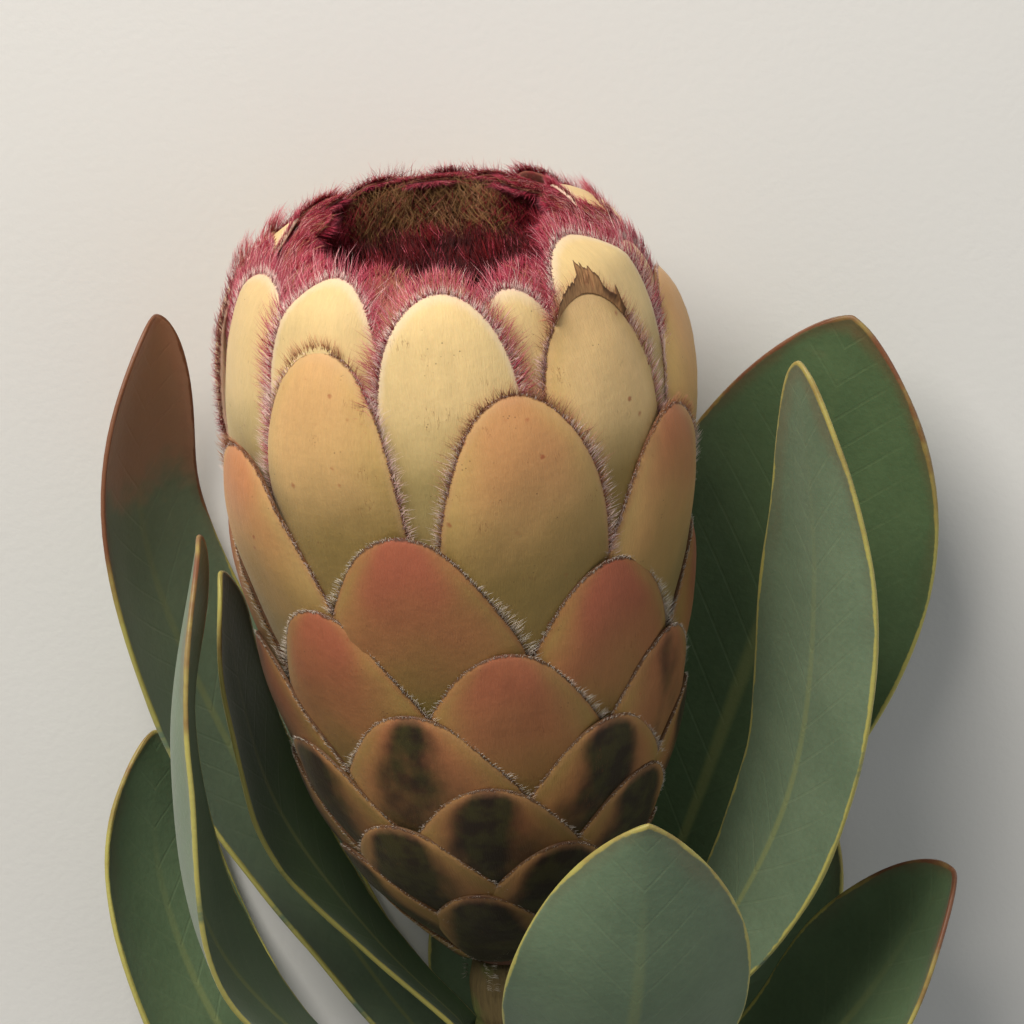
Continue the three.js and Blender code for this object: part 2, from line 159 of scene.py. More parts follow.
def soft_light(name, place, size, power, colour):
    """A square area lamp that looks at the middle of the head."""
    data = bpy.data.lights.new(name, "AREA")
    data.shape = "SQUARE"
    data.size = size
    data.energy = power
    data.color = colour
    lamp = add_object(name, data)
    lamp.location = place
    lamp.rotation_euler = (HEAD_MIDDLE - Vector(place)).to_track_quat("-Z", "Y").to_euler()


soft_light("key_light", (-0.26, 0.66, 0.50), 0.45, 8.5, (1.0, 0.96, 0.90))
soft_light("fill_light", (0.75, -0.10, 0.65), 0.8, 1.2, (0.93, 0.96, 1.0))

world = bpy.data.worlds.new("studio")
world.use_nodes = True
sky = world.node_tree.nodes["Background"]
sky.inputs["Color"].default_value = (0.86, 0.88, 0.90, 1)
sky.inputs["Strength"].default_value = 0.28
bpy.context.scene.world = world
bpy.context.scene.view_settings.view_transform = "Standard"
print("Two soft lights and a grey world")

# %% [markdown]
# ## Small helpers for materials
#
# A material is a tree of nodes. `add_node` makes one in the tree that was started last, and fills
# its sockets: one that is given another node's output is linked, any other value is typed in.

# %% Helpers for node trees
def srgb(*values):
    """A colour picked on screen, from 0 to 255, as the linear values that a shader works with."""
    shares = [value / 255 for value in values]
    return (*(s / 12.92 if s <= 0.04045 else ((s + 0.055) / 1.055) ** 2.4 for s in shares), 1.0)


def start_material(name):
    """A new material, in whose tree the helpers now draw, and its Principled shader."""
    global tree
    material = bpy.data.materials.new(name)
    material.use_nodes = True
    tree = material.node_tree
    return material, tree.nodes["Principled BSDF"]


def start_group(name, number, usual, results):
    """A new node group, in which the helpers now draw. A place and a number come in."""
    global tree
    tree = bpy.data.node_groups.new(name, "ShaderNodeTree")
    tree.interface.new_socket("Place", in_out="INPUT", socket_type="NodeSocketVector")
    socket = tree.interface.new_socket(number, in_out="INPUT", socket_type="NodeSocketFloat")
    socket.default_value = usual
    for result in results:
        tree.interface.new_socket(result, in_out="OUTPUT", socket_type="NodeSocketFloat")
    comes_in = tree.nodes.new("NodeGroupInput").outputs
    return tree, comes_in["Place"], comes_in[number], tree.nodes.new("NodeGroupOutput")


def fill(node, sockets):
    """Fills a node's sockets, told by name or number."""
    for key, value in sockets.items():
        if isinstance(value, bpy.types.NodeSocket):
            tree.links.new(value, node.inputs[key])
        else:
            node.inputs[key].default_value = value


def add_node(kind, sockets=None, **settings):
    """A new node of a kind, told without the word ShaderNode, with its sockets filled."""
    node = tree.nodes.new("ShaderNode" + kind)
    for key, value in settings.items():
        setattr(node, key, value)
    fill(node, sockets or {})
    return node


def attribute(name, output="Fac"):
    """What a vertex attribute of the piece says."""
    return add_node("Attribute", attribute_name=name).outputs[output]


def maths(operation, *values):
    return add_node("Math", dict(enumerate(values)), operation=operation).outputs[0]


def times(first, second):
    return maths("MULTIPLY", first, second)


def plus(first, second):
    return maths("ADD", first, second)


def scaled(value, factor, base):
    """The value times a factor, from a base up."""
    return maths("MULTIPLY_ADD", value, factor, base)


def ease(value, start, end):
    """0 before start, 1 after end, and smooth between; start may be the larger."""
    sockets = {"Value": value, "From Min": start, "From Max": end}
    return add_node("MapRange", sockets, interpolation_type="SMOOTHSTEP").outputs["Result"]


def mix(share, first, second, mode="MIX"):
    """The first colour where the share is 0, the second where it is 1."""
    sockets = {0: share, 6: first, 7: second}
    return add_node("Mix", sockets, data_type="RGBA", blend_type=mode).outputs[2]


def painted(colour, coats):
    """A colour with others laid over it in turn, each by a mask and a strength."""
    for mask, strength, paint in coats:
        colour = mix(times(mask, strength), colour, paint)
    return colour


def noise(place, scale, detail=3.0, roughness=0.55):
    sockets = {"Vector": place, "Scale": scale, "Detail": detail, "Roughness": roughness}
    return add_node("TexNoise", sockets).outputs["Fac"]


def stretched(place, scale):
    """The place with each of its axes scaled."""
    return add_node("Mapping", {"Vector": place, "Scale": scale}).outputs["Vector"]


def bump(height, distance, strength=1.0):
    """The normals of a surface that is raised a little by a height."""
    sockets = {"Height": height, "Distance": distance, "Strength": strength}
    return add_node("Bump", sockets).outputs["Normal"]


print("Helpers for node trees are ready")

# %% [markdown]
# ## Floor
#
# The floor is matt pale paper. Even plain paper isn't one flat colour, so a faint cloud of tone
# and a very fine tooth are laid over it. It is marked as stage, because it isn't part of the flower.

# %% Make the floor
FLOOR_SIZE = 3.0

floor_material, shader = start_material("pale_floor")
place = add_node("TexCoord").outputs["Object"]
fill(shader, {
    "Base Color": mix(noise(place, 6.0), srgb(214, 212, 207), srgb(222, 220, 216)),
    "Roughness": 0.9,
    "Normal": bump(noise(place, 900.0), 0.0002, 0.2),
})

sheet = bmesh.new()
bmesh.ops.create_grid(sheet, x_segments=2, y_segments=2, size=FLOOR_SIZE / 2)
floor_mesh = bpy.data.meshes.new("floor")
sheet.to_mesh(floor_mesh)
sheet.free()
floor_mesh.materials.append(floor_material)
add_object("floor", floor_mesh)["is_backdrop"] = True
print("Floor", FLOOR_SIZE, "m wide")

# %% [markdown]
# ## The head's outline
#
# Cut lengthwise, the head is a bud: narrow at the foot, widest two thirds up, drawn in at the
# mouth. A few radius and height pairs, joined by a smooth spline, are enough. Everything else on
# the head is told by two numbers: how far along the outline it is, and how deep it is sunk into it.

# %% The outline as a spline
HEAD_OUTLINE = [
    (8.5, 0), (19.5, 15), (25.2, 29), (29.2, 49), (31.7, 70), (31.2, 83), (27, 95), (17.5, 102), (12, 104),
]
SPLINE_STEPS = 200


def smooth(value):
    """0 below 0, 1 above 1, and an S-shaped step between."""
    value = np.clip(value, 0, 1)
    return value * value * (3 - 2 * value)


def keep_above(value, bound, softness):
    """Pushes a value softly away from a bound, so that it never falls below it."""
    over = (value - bound) / softness
    return np.where(over > 20, value, bound + softness * np.log1p(np.exp(np.minimum(over, 20))))


def unit(vectors):
    """The same directions, each one unit long."""
    return vectors / (np.linalg.norm(vectors, axis=-1)[..., None] + 1e-12)


def curve_through(points, steps, evenness=0.0):
    """A Catmull-Rom curve through all the points but the first and the last, which steer it.

    With evenness 0 it is three.js's SplineCurve, with 0.5 the centripetal kind, which never loops.
    """
    row = []
    for x0, x1, x2, x3 in zip(points, points[1:], points[2:], points[3:]):
        d0, d1, d2 = (np.linalg.norm(b - a) ** evenness for a, b in ((x0, x1), (x1, x2), (x2, x3)))
        t1 = ((x1 - x0) / d0 - (x2 - x0) / (d0 + d1) + (x2 - x1) / d1) * d1
        t2 = ((x2 - x1) / d1 - (x3 - x1) / (d1 + d2) + (x3 - x2) / d2) * d1
        w = np.linspace(0, 1, steps, endpoint=False)[:, None]
        cubic = (2 * x1 - 2 * x2 + t1 + t2) * w**3
        square = (-3 * x1 + 3 * x2 - 2 * t1 - t2) * w**2
        row.append(cubic + square + t1 * w + x1)
    return np.vstack([*row, points[-2]])


def running_length(places):
    """How far along a row of places each of them is."""
    return np.concatenate([[0], np.cumsum(np.linalg.norm(np.diff(places, axis=0), axis=1))])


outline = curve_through(np.array([HEAD_OUTLINE[0], *HEAD_OUTLINE, HEAD_OUTLINE[-1]], float), SPLINE_STEPS)
outline_way = np.gradient(outline, axis=0)
outline_way /= np.linalg.norm(outline_way, axis=1)[:, None]
outline_arc = running_length(outline)


def at_arc(arc, rows):
    """Both columns of the outline's places or ways, at a length along it."""
    return np.interp(arc, outline_arc, rows[:, 0]), np.interp(arc, outline_arc, rows[:, 1])


def sunk_outline(arc, depth):
    """Radius and height at a length along the outline, sunk square to it by a depth."""
    arc = np.clip(arc, 0, outline_arc[-1])
    radius, height = at_arc(arc, outline)
    out, up = at_arc(arc, outline_way)
    return radius - depth * up, height + depth * out


def arc_at(height):
    return np.interp(height, outline[:, 1], outline_arc)


def radius_at(height):
    return np.interp(height, outline[:, 1], outline[:, 0])


print("The outline is", round(float(outline_arc[-1]), 1), "mm long")

# %% [markdown]
# ## The spiral of bracts
#
# The bracts stand in one spiral, each turned 137.8 degrees from the one before, the golden angle
# that sunflowers and pine cones use. They are numbered from the lowest and outermost, -38, to the
# innermost, 34; those above 34 curl in over the mouth. Each lies a little deeper than the one
# before, so they overlap like roof tiles, the lower ones on top. No living head is that even: some
# bracts stand off the spiral by a few degrees, are taller or wider, or lie a few layers further out.

# %% Where each bract stands and how large it is
SPIRAL_STEP = math.radians(-137.8)
SPIRAL_START = math.radians(-15.5)
FIRST_BRACT = -38
LAST_OUTER = 0
LAST_MIDDLE = 10
LAST_BRACT = 34
CURLED_IN = [35, 36, 37, 38, 40, 41, 43, 45, 46]
BRACT_LENGTH = 36
LAYER = 0.15


def through(pairs, blur=0):
    """The function that runs straight from each pair to the next, with its corners blurred."""
    xs, ys = np.array(pairs, float).T
    if not blur:
        return lambda x: np.interp(x, xs, ys)
    fine = np.linspace(xs[0] - 3 * blur, xs[-1] + 3 * blur, 1200)
    window = np.hanning(max(3, int(2 * blur / (fine[1] - fine[0]))))
    soft = np.convolve(np.pad(np.interp(fine, xs, ys), len(window), "edge"), window / window.sum(), "same")
    soft = soft[len(window):-len(window)]
    return lambda x: np.interp(x, fine, soft)


usual_tip = through([
    (-42, 8), (-34, 17), (-26, 28.5), (-16, 41), (-8, 53.5), (-3, 62.5), (0, 70.5), (3, 79),
    (5, 86.5), (8, 92.5), (10, 95.5), (13, 97.5), (18, 98.8), (24, 100.5), (34, 102.2), (46, 103.8),
])
usual_half_width = through([
    (-42, 5.5), (-34, 7), (-26, 9.2), (-13, 10.6), (0, 11.6), (8, 10), (13, 8.8), (20, 7.4), (34, 6.2),
])
bract_flare = through([(-38, 0.2), (-13, 0.3), (0, 0.26), (4, 0.12), (8, 0.04), (34, 0)])
tip_round = through([(-42, 8), (-26, 12), (-13, 15), (0, 19), (8, 20), (13, 16), (34, 12)])
usual_layer = through([
    (-60, -60), (-10, -10), (0, 5), (1, 9), (10, 24.5), (11, 28.5), (20, 42), (50, 72),
])
outer_layer = through([
    (0, -46), (17, -34), (28.5, -26), (41, -16), (53.5, -6.5), (62.5, 1), (70.5, 7), (77, 12),
    (86.5, 17), (92.5, 21.5), (95.5, 27), (97, 33.5), (98.8, 40), (100.5, 47), (102.2, 56),
], blur=1.5)
OFF_SPIRAL = {
    -18: -5, -16: 7, -13: 4, -5: 4, 2: -7, 3: 5, 7: -12, 8: 4, 10: -5, 11: -16, 13: 7, 16: -7, 18: -2,
    21: -5, 23: -3, 33: -5,
}
TALLER = {
    2: 2.6, 5: 0.9, 7: 2.0, 8: 1.3, 10: 0.7, 13: 1.4, 16: 0.8, 21: 0.5, 23: 0.4, 26: -0.3, 31: -1.2,
    34: -0.8,
}
WIDER = {7: 1.22, 16: 1.25, 18: 0.85, 21: 1.06, 23: 1.2, 32: 1.2, 33: 1.45}
STANDS_PROUD = {21: 9.5, 23: 12.5, 32: 5, 33: 13}


def bract_angle(bract):
    return SPIRAL_START + SPIRAL_STEP * bract + math.radians(OFF_SPIRAL.get(bract, 0))


def tip_height(bract):
    return usual_tip(bract) + TALLER.get(bract, 0)


def bract_half_width(bract):
    return usual_half_width(bract) * WIDER.get(bract, 1)


def bract_layer(bract):
    return usual_layer(bract) - STANDS_PROUD.get(bract, 0)


def layer_depth(layer, height):
    """How deep a layer lies under the outline at a height."""
    return LAYER * (layer - outer_layer(height))


print("Bracts", FIRST_BRACT, "to", LAST_BRACT)

# %% [markdown]
# ## A place on a bract
#
# Each point of a bract is told by how far it is down from the tip and how far it is across from the
# middle line. `on_bract` turns that into a place in space: down runs along the head's outline,
# across runs round it. The same call with a point past the edge gives the place of a hair there.
# A margin rests on the bracts behind it: by the spiral those 8 and 5 places on, or others where a
# bract stands off the spiral.

# %% From a bract's own measures to a place in space
TIP_REST = 8
SIDE_CHANGE = 6
PILLOW = 7.0
EDGE_STANDS = 0.3
LEAST_DROP = 0.15
SWAY = 0.7
SWAYING_TIP = 14
USUAL_REST = (8, 8, 5)
RESTS_ON = {
    10: (13, 8, 5), 13: (7, 8, 5), 15: (9, 13, 5), 16: (8, 8, 13), 18: (8, 8, 8), 21: (3, -5, 5),
    23: (1, 3, -8),
}


def layer_behind(bract, down, across):
    """The layer on which this place of a bract rests, from those behind its tip, left and right."""
    tip, left, right = (bract_layer(bract + count) for count in RESTS_ON.get(bract, USUAL_REST))
    side = left + (right - left) * smooth(0.5 + across / SIDE_CHANGE)
    return tip + (side - tip) * smooth(down / TIP_REST)


def spread(bract, down):
    """How much wider the bract grows below its rounded tip."""
    return 1 + bract_flare(bract) * smooth(down / tip_round(bract) - 0.25)


def bract_width(bract, down):
    """Half the width at a distance from the tip: a half ellipse that grows on below."""
    rounded = np.sqrt(np.clip(1 - (1 - np.clip(down / tip_round(bract), 0, 1)) ** 2, 0, 1))
    return bract_half_width(bract) * rounded * spread(bract, down)


def margin_distance(bract, down, across):
    """How far a point is inside the bract's margin, in millimetres; outside it is negative."""
    half = bract_half_width(bract) * spread(bract, down)
    from_middle = np.clip(1 - down / tip_round(bract), 0, None)
    return half * (1 - np.hypot(across / half, from_middle))


def on_bract(bract, down, across, lift=0.0):
    """The place at down and across millimetres, raised from the bract's face by lift."""
    arc = arc_at(tip_height(bract)) - down
    edge, height = sunk_outline(arc, 0)
    depth = layer_depth(bract_layer(bract), height)
    drop = LAYER * (layer_behind(bract, down, across) - bract_layer(bract)) - EDGE_STANDS
    drop = np.maximum(drop, LEAST_DROP)
    near_margin = 1 - np.clip(margin_distance(bract, down, across) / PILLOW, 0, 1)
    radius, z = sunk_outline(arc, depth + drop * near_margin**2 - lift)
    past = np.maximum(arc - outline_arc[-1], 0) + np.minimum(arc, 0)
    sway = SWAY * math.sin(bract * 2.4) * (1 - smooth(down / SWAYING_TIP))
    angle = bract_angle(bract) + (across + sway) / np.maximum(edge - depth, 5)
    radius = np.maximum(radius, 0.5)
    return on_table(np.stack([radius * np.sin(angle), -radius * np.cos(angle), z + past], axis=-1))


def on_table(points, softness=0.12):
    """Points that would be under the table, pressed flat onto it."""
    over = points @ UP + LIFT
    return points + (keep_above(over, 0.02, softness) - over)[..., None] * UP


sample = on_bract(0, np.array([0.0, 10.0]), np.array([0.0, 0.0]))
print("The tip of bract 0 is at", sample[0].round(1), "and 10 mm below it is", sample[1].round(1))

# %% [markdown]
# ## One blade from a sheet that is wrapped round
#
# A bract or a leaf is a thin closed blade with a rounded margin. It is made from one flat grid: the
# grid's width is wrapped once round the blade, over the front and back along the rear, so that its
# two sides meet and are welded. Rows gather at the tip, where the sheet closes to a point, and
# columns gather at the margins, where the rounding needs them.

# %% A helper that wraps a grid into a blade
def marked_mesh(*names):
    """An empty mesh whose vertices carry a number under each name, and their place in the grain."""
    mesh = bmesh.new()
    for name in names:
        mesh.verts.layers.float.new(name)
    mesh.verts.layers.float_vector.new("grain")
    return mesh


def mark(mesh, verts, marks):
    """Writes marks on vertices; a mark has one value for all of them or one for each."""
    layers = mesh.verts.layers
    for name, values in marks.items():
        layer = layers.float_vector[name] if name == "grain" else layers.float[name]
        values = np.broadcast_to(values, (len(verts), *np.shape(values)[1:])).tolist()
        for vert, value in zip(verts, values):
            vert[layer] = value


def wrapped_sheet(mesh, columns, rows):
    """A flat grid in the mesh: its corners, the turn round the blade and the way from the tip."""
    made = bmesh.ops.create_grid(mesh, x_segments=columns, y_segments=rows, size=1)
    corners = made["verts"]
    flat = np.array([corner.co for corner in corners])
    turn = np.round((flat[:, 0] + 1) / 2 * columns) / columns * 2 * math.pi
    way = np.round((flat[:, 1] + 1) / 2 * rows) / rows
    return corners, turn, way


def close_sheet(mesh, corners, places, marks):
    """Moves the corners to their places, marks them, welds the seam and closes the open end."""
    for corner, spot in zip(corners, places):
        corner.co = spot
    mark(mesh, corners, marks)
    bmesh.ops.remove_doubles(mesh, verts=corners, dist=1e-5)
    alive = [corner for corner in corners if corner.is_valid]
    rim = list({edge for corner in alive for edge in corner.link_edges if edge.is_boundary})
    if rim:
        bmesh.ops.holes_fill(mesh, edges=rim, sides=0)


def add_piece(name, data, material, replaced=()):
    """Lays a mesh into the room as a piece of the flower that stands for CAD nodes, or for none."""
    data.transform(FLOWER)
    data.materials.append(material)
    piece = add_object(name, data)
    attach(piece, "root")
    if replaced:
        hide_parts(*replaced)


def finish_piece(mesh, name, material, slot, *replaced):
    """Turns the shaped mesh into a finished piece."""
    bmesh.ops.dissolve_degenerate(mesh, dist=1e-5, edges=mesh.edges)
    bmesh.ops.triangulate(mesh, faces=[face for face in mesh.faces if len(face.verts) > 4])
    bmesh.ops.recalc_face_normals(mesh, faces=mesh.faces)
    for face in mesh.faces:
        face.smooth = True
    data = bpy.data.meshes.new(name)
    mesh.to_mesh(data)
    mesh.free()
    add_piece(name, data, material, replaced)
    data.calc_loop_triangles()
    print(name, "has", len(data.loop_triangles), "triangles")


print("A blade is one wrapped sheet")

# %% [markdown]
# ## Bract finish
#
# A bract is leather under silk: a matt skin with a sheen of tiny hairs. Its colour runs down the
# spiral, from cream at the mouth through ochre and peach to salmon red, and blackish green at the
# foot. On each bract the middle is warmer than the sides, the tip is warmer than the foot, and
# there are rust specks and fine scratches. The very edge is a thin line: on the lower bracts it
# is brown, partly dry skin and partly painted shadow where the margin meets the bract behind. The
# inner face is crimson and brown. Each of these is a mask that reads what the vertices know: how
# far they are from the tip and the margin, and how red, pale or stained their bract is.

# %% The silk group: fine hairs that lie along the bract, as a tone and a height
silk, place, fineness, goes_out = start_group("silk_hairs", "Fineness", 5.0, ("Tone", "Height"))
strand = noise(stretched(place, (2.6, 0.35, 1.0)), fineness, 4.0, 0.6)
broad = noise(stretched(place, (0.9, 0.16, 1.0)), 0.8, 2.0)
fill(goes_out, {"Tone": plus(times(strand, 0.6), times(broad, 0.4)), "Height": strand})
print("Group", silk.name)

# %% The speck group: rust dots, scratches and pepper as masks
specks, place, amount, goes_out = start_group(
    "rust_specks", "Amount", 0.5, ("Dots", "Scratches", "Pepper"),
)
cells = add_node("TexVoronoi", {"Vector": place, "Scale": 0.32}).outputs["Distance"]
ragged = plus(cells, times(noise(place, 2.2), 0.16))
dots = ease(maths("SUBTRACT", times(amount, 0.22), ragged), -0.05, 0.06)
few = ease(noise(place, 0.16, 1.0), 0.48, 0.6)
slanted = add_node("Mapping", {"Vector": place, "Scale": (1.6, 0.22, 1), "Rotation": (0, 0, 0.5)})
line = noise(slanted.outputs["Vector"], 1.3, 2.0)
scratch = ease(maths("ABSOLUTE", maths("SUBTRACT", line, 0.5)), 0.014, 0.004)
sparse = ease(noise(place, 0.22, 1.0), 0.64, 0.7)
grains = add_node("TexVoronoi", {"Vector": place, "Scale": 1.5}).outputs["Distance"]
patchy = ease(noise(place, 0.2, 1.0), 0.62, 0.7)
fill(goes_out, {
    "Dots": times(dots, few),
    "Scratches": times(scratch, sparse),
    "Pepper": times(ease(grains, 0.2, 0.1), patchy),
})
print("Group", specks.name)

# %% The bract material, once for each series
def bract_material(name, tip, body, side, root, edge, red_edge, wool, speck_amount, silkiness):
    """A bract's colours, from tip to root and from middle to side, with those of its margin."""
    material, shader = start_material(name)
    place = attribute("grain", "Vector")
    down = attribute("down")
    red = attribute("red")
    stain = attribute("stain")
    hairs = add_node("Group", {"Place": place, "Fineness": 2.4}, node_tree=silk).outputs
    rust = add_node("Group", {"Place": place, "Amount": speck_amount}, node_tree=specks).outputs

    wander = scaled(noise(place, 0.1, 1.0), 0.6, -0.3)
    aside = maths("POWER", maths("ABSOLUTE", attribute("across")), 2.0)
    lower = plus(down, times(wander, 18.0))
    paler = mix(attribute("pale"), body, srgb(220, 188, 132))
    warm = mix(ease(lower, 2.0, 19.0), mix(red, paler, tip), paler)
    middle = mix(ease(plus(aside, wander), 0.1, 1.1), warm, side)
    skin = mix(ease(lower, 12.0, 27.0), middle, root)
    shade = times(scaled(hairs["Tone"], 0.44, 0.79), scaled(attribute("luck"), 0.16, 0.92))
    skin = mix(1.0, skin, shade, "MULTIPLY")

    blotchy = scaled(noise(stretched(place, (1.0, 0.6, 1.0)), 0.16, 3.0), 0.9, -0.45)
    cap = times(times(ease(down, 8.0, 1.0), 0.3), stain)
    stained = plus(plus(plus(blotchy, times(aside, -1.1)), stain), cap)
    olive = mix(ease(noise(place, 0.3), 0.4, 0.65), srgb(18, 18, 9), srgb(50, 52, 20))
    frayed = plus(attribute("margin"), scaled(noise(place, 1.1), 0.5, -0.15))
    lining = mix(noise(place, 0.25), srgb(104, 32, 38), srgb(126, 86, 52))
    skin = painted(skin, [
        (ease(stained, 0.3, 0.86), 0.95, olive),
        (rust["Dots"], 0.7, srgb(150, 66, 38)),
        (rust["Scratches"], 0.5, srgb(120, 70, 40)),
        (rust["Pepper"], 0.55, srgb(70, 46, 30)),
        (ease(frayed, 1.3, 0.35), 0.4, mix(red, wool, tip)),
        # The thin line at the very edge: on the russet and ochre bracts it is partly dry skin and partly
        # painted shadow
        (ease(frayed, 0.4, 0.2), 0.8, mix(red, edge, red_edge)),
        (attribute("inside"), 1.0, lining),
    ])
    relief = plus(hairs["Height"], times(noise(place, 0.5), 1.4))
    fill(shader, {
        "Base Color": skin,
        "Roughness": scaled(hairs["Tone"], 0.2, 0.52),
        "Normal": bump(relief, 0.0002, 0.4),
        "Specular IOR Level": 0.3,
        "Sheen Weight": silkiness,
        "Sheen Roughness": 0.45,
        "Sheen Tint": srgb(238, 222, 200),
        "Subsurface Weight": 0.08,
        "Subsurface Radius": (0.9, 0.5, 0.25),
        "Subsurface Scale": 0.0012,
    })
    return material


# The brown edge colours of the russet and ochre series are partly dry skin and partly painted shadow at
# the margin
outer_skin = bract_material(
    "russet_bract", srgb(158, 88, 62), srgb(166, 114, 68), srgb(156, 126, 68), srgb(116, 100, 46),
    srgb(64, 38, 24), srgb(64, 38, 24), srgb(190, 140, 96), 0.5, 0.09,
)
middle_skin = bract_material(
    "ochre_bract", srgb(184, 110, 74), srgb(196, 150, 90), srgb(194, 160, 98), srgb(146, 120, 64),
    srgb(96, 54, 30), srgb(96, 54, 30), srgb(212, 176, 128), 0.9, 0.2,
)
inner_skin = bract_material(
    "cream_bract", srgb(156, 74, 66), srgb(216, 186, 130), srgb(210, 184, 130), srgb(166, 144, 90),
    srgb(224, 190, 170), srgb(116, 36, 40), srgb(232, 212, 190), 0.4, 0.28,
)
print("Bract materials:", outer_skin.name, middle_skin.name, inner_skin.name)

# %% [markdown]
# ## The bracts
#
# Each bract is a blade laid on the head. Its face lies in the bract's layer, its margin is rounded
# over and dips towards the bracts behind it, and its root runs down inside the head, where the next
# bracts hide it. Low lumps and a faint keel keep it from looking turned on a lathe. A series of
# bracts is one piece, with the woody cup or sleeve that carries it.

# %% Build one bract
EDGE_THICKNESS = 0.6
EDGE_ROUNDING = 0.4
ROOT_GROWTH = 2.2
LUMP_HEIGHT = 0.11
KEEL_HEIGHT = 0.06
BRACT_COLUMNS = 36
BRACT_ROWS = 26
TIP_ROWS = 14
GRAIN_APART = 17.0

stain_amount = through([
    (-38, 1.15), (-26, 0.95), (-21, 0.88), (-16, 0.82), (-13, 0.72), (-11, 0.5), (-8, 0.3),
    (-4, 0.15), (5, 0),
])
redness = through([
    (-30, 0.25), (-13, 0.45), (-8, 0.8), (-3, 1), (0, 1), (2, 0.85), (4, 0.5), (5, 0.45), (7, 0.2),
    (10, 0.1), (11, 0), (14, 0), (15, 0.3), (16, 0.06), (17, 0), (21, 0), (22, 0.7), (23, 0), (24, 1),
    (31, 1), (32, 0), (33, 0), (34, 1),
])
paleness = through([(4, 0), (5, 0.15), (7, 0.1), (8, 0.35), (9, 0.3), (10, 0.85), (11, 0)])


def root_growth(down, margin):
    """How much thicker the bract is below its tip, so that it fills the room behind it."""
    return ROOT_GROWTH * smooth((down - 3) / 14) * smooth(margin / 1.8)


def add_bract(mesh, bract, random):
    corners, turn, way = wrapped_sheet(mesh, BRACT_COLUMNS, BRACT_ROWS)
    share = -np.cos(turn)
    outward = np.sin(turn)
    round_end = tip_round(bract)
    length = min(BRACT_LENGTH, arc_at(tip_height(bract)) - 1)
    step = way * BRACT_ROWS
    in_tip = round_end * (1 - np.cos(np.clip(step / TIP_ROWS, 0, 1) * math.pi / 2))
    below = (length - round_end) * np.clip((step - TIP_ROWS) / (BRACT_ROWS - TIP_ROWS), 0, 1)
    down = in_tip + below
    across = share * bract_width(bract, down)
    margin = np.maximum(margin_distance(bract, down, across), 0)
    edge = np.sqrt(1 - (1 - np.clip(margin / EDGE_ROUNDING, 0, 1)) ** 2)
    thick = EDGE_THICKNESS * edge
    growth = root_growth(down, margin)
    phase = random.uniform(0, 2 * math.pi, 3)
    lumps = np.sin(across * 0.55 + phase[0]) * np.sin(down * 0.24 + phase[1])
    keel = np.exp(-((across / 1.8) ** 2)) * smooth(down / 8) * np.sin(down * 0.2 + phase[2])
    face = (LUMP_HEIGHT * lumps + KEEL_HEIGHT * keel) * smooth(margin / 2)
    lift = np.where(outward >= 0, thick / 2 + face, -thick / 2 - growth) - EDGE_THICKNESS / 2
    places = on_bract(bract, down, across, lift)
    close_sheet(mesh, corners, places, {
        "down": down, "across": share, "margin": margin,
        "stain": stain_amount(bract), "luck": random.uniform(), "red": redness(bract),
        "inside": smooth(-outward * 4) * smooth((margin - 1.5) / 2), "pale": paleness(bract),
        "grain": np.stack([across, down, np.full(len(down), bract * GRAIN_APART)], axis=1),
    })


print("A bract is", BRACT_COLUMNS, "by", BRACT_ROWS, "faces")

# %% [markdown]
# ### The wood inside
#
# Under the bracts is the cup of the head. It hardly shows, only as darkness between the bracts, so
# it is a plain turned body: a profile spun once round the flower's axis.

# %% A turned body
CORE_SIDES = 64


def add_turned(mesh, profile, marks, sides=CORE_SIDES):
    """Spins radius and height pairs round the axis into a closed body with fixed marks."""
    before = set(mesh.verts)
    row = [mesh.verts.new((radius, 0, height)) for radius, height in profile]
    edges = [mesh.edges.new(pair) for pair in zip(row, row[1:])]
    bmesh.ops.spin(
        mesh, geom=[*row, *edges], cent=(0, 0, 0), axis=(0, 0, 1), dvec=(0, 0, 0),
        angle=2 * math.pi, steps=sides, use_merge=True, use_duplicate=False,
    )
    made = [vert for vert in mesh.verts if vert not in before]
    bmesh.ops.remove_doubles(mesh, verts=made, dist=1e-4)
    alive = [vert for vert in made if vert.is_valid]
    mark(mesh, alive, marks)
    return alive


def layer_profile(layer, start, end, steps=8):
    """Radius and height pairs along a layer between two heights of the outline."""
    heights = np.linspace(start, end, steps + 1)
    radius, z = sunk_outline(arc_at(heights), layer_depth(layer, heights))
    return list(zip(radius.tolist(), z.tolist()))


CUP_SUNK = 3.5
CUP_FLOOR = 30
CUP_TOP = 42
SLEEVE_TOP = 50
CORE_TOP = 82
WALL_GAP = 0.45
HIDDEN = dict(down=40, across=0, margin=9, stain=1, luck=0, inside=1, red=0, pale=0)


def series(name, bracts, core, material, replaced, slot, seed):
    """A piece made of a run of bracts and the core that carries them."""
    random = np.random.default_rng(seed)
    mesh = marked_mesh(*HIDDEN)
    for bract in bracts:
        add_bract(mesh, bract, random)
    add_turned(mesh, core, HIDDEN)
    finish_piece(mesh, name, material, slot, replaced)


def wall(bract, outer, inner, start, end):
    """The two sides of a wall of the core, told by how many layers behind a bract they lie."""
    out, back = (layer_profile(bract_layer(bract) + behind, start, end) for behind in (outer, inner))
    return [*out, *back[::-1]]


foot_profile = [(float(radius_at(height)) - CUP_SUNK, height) for height in (0, 6, 15, 22)]
cup = [(0, 0), *foot_profile, *wall(LAST_OUTER, 2, 7, CUP_FLOOR, CUP_TOP), (0, CUP_FLOOR)]
RUSSET = range(FIRST_BRACT, LAST_OUTER + 1)
series("russet_bracts", RUSSET, cup, outer_skin, "outer_bracts", "russet_bract", 11)

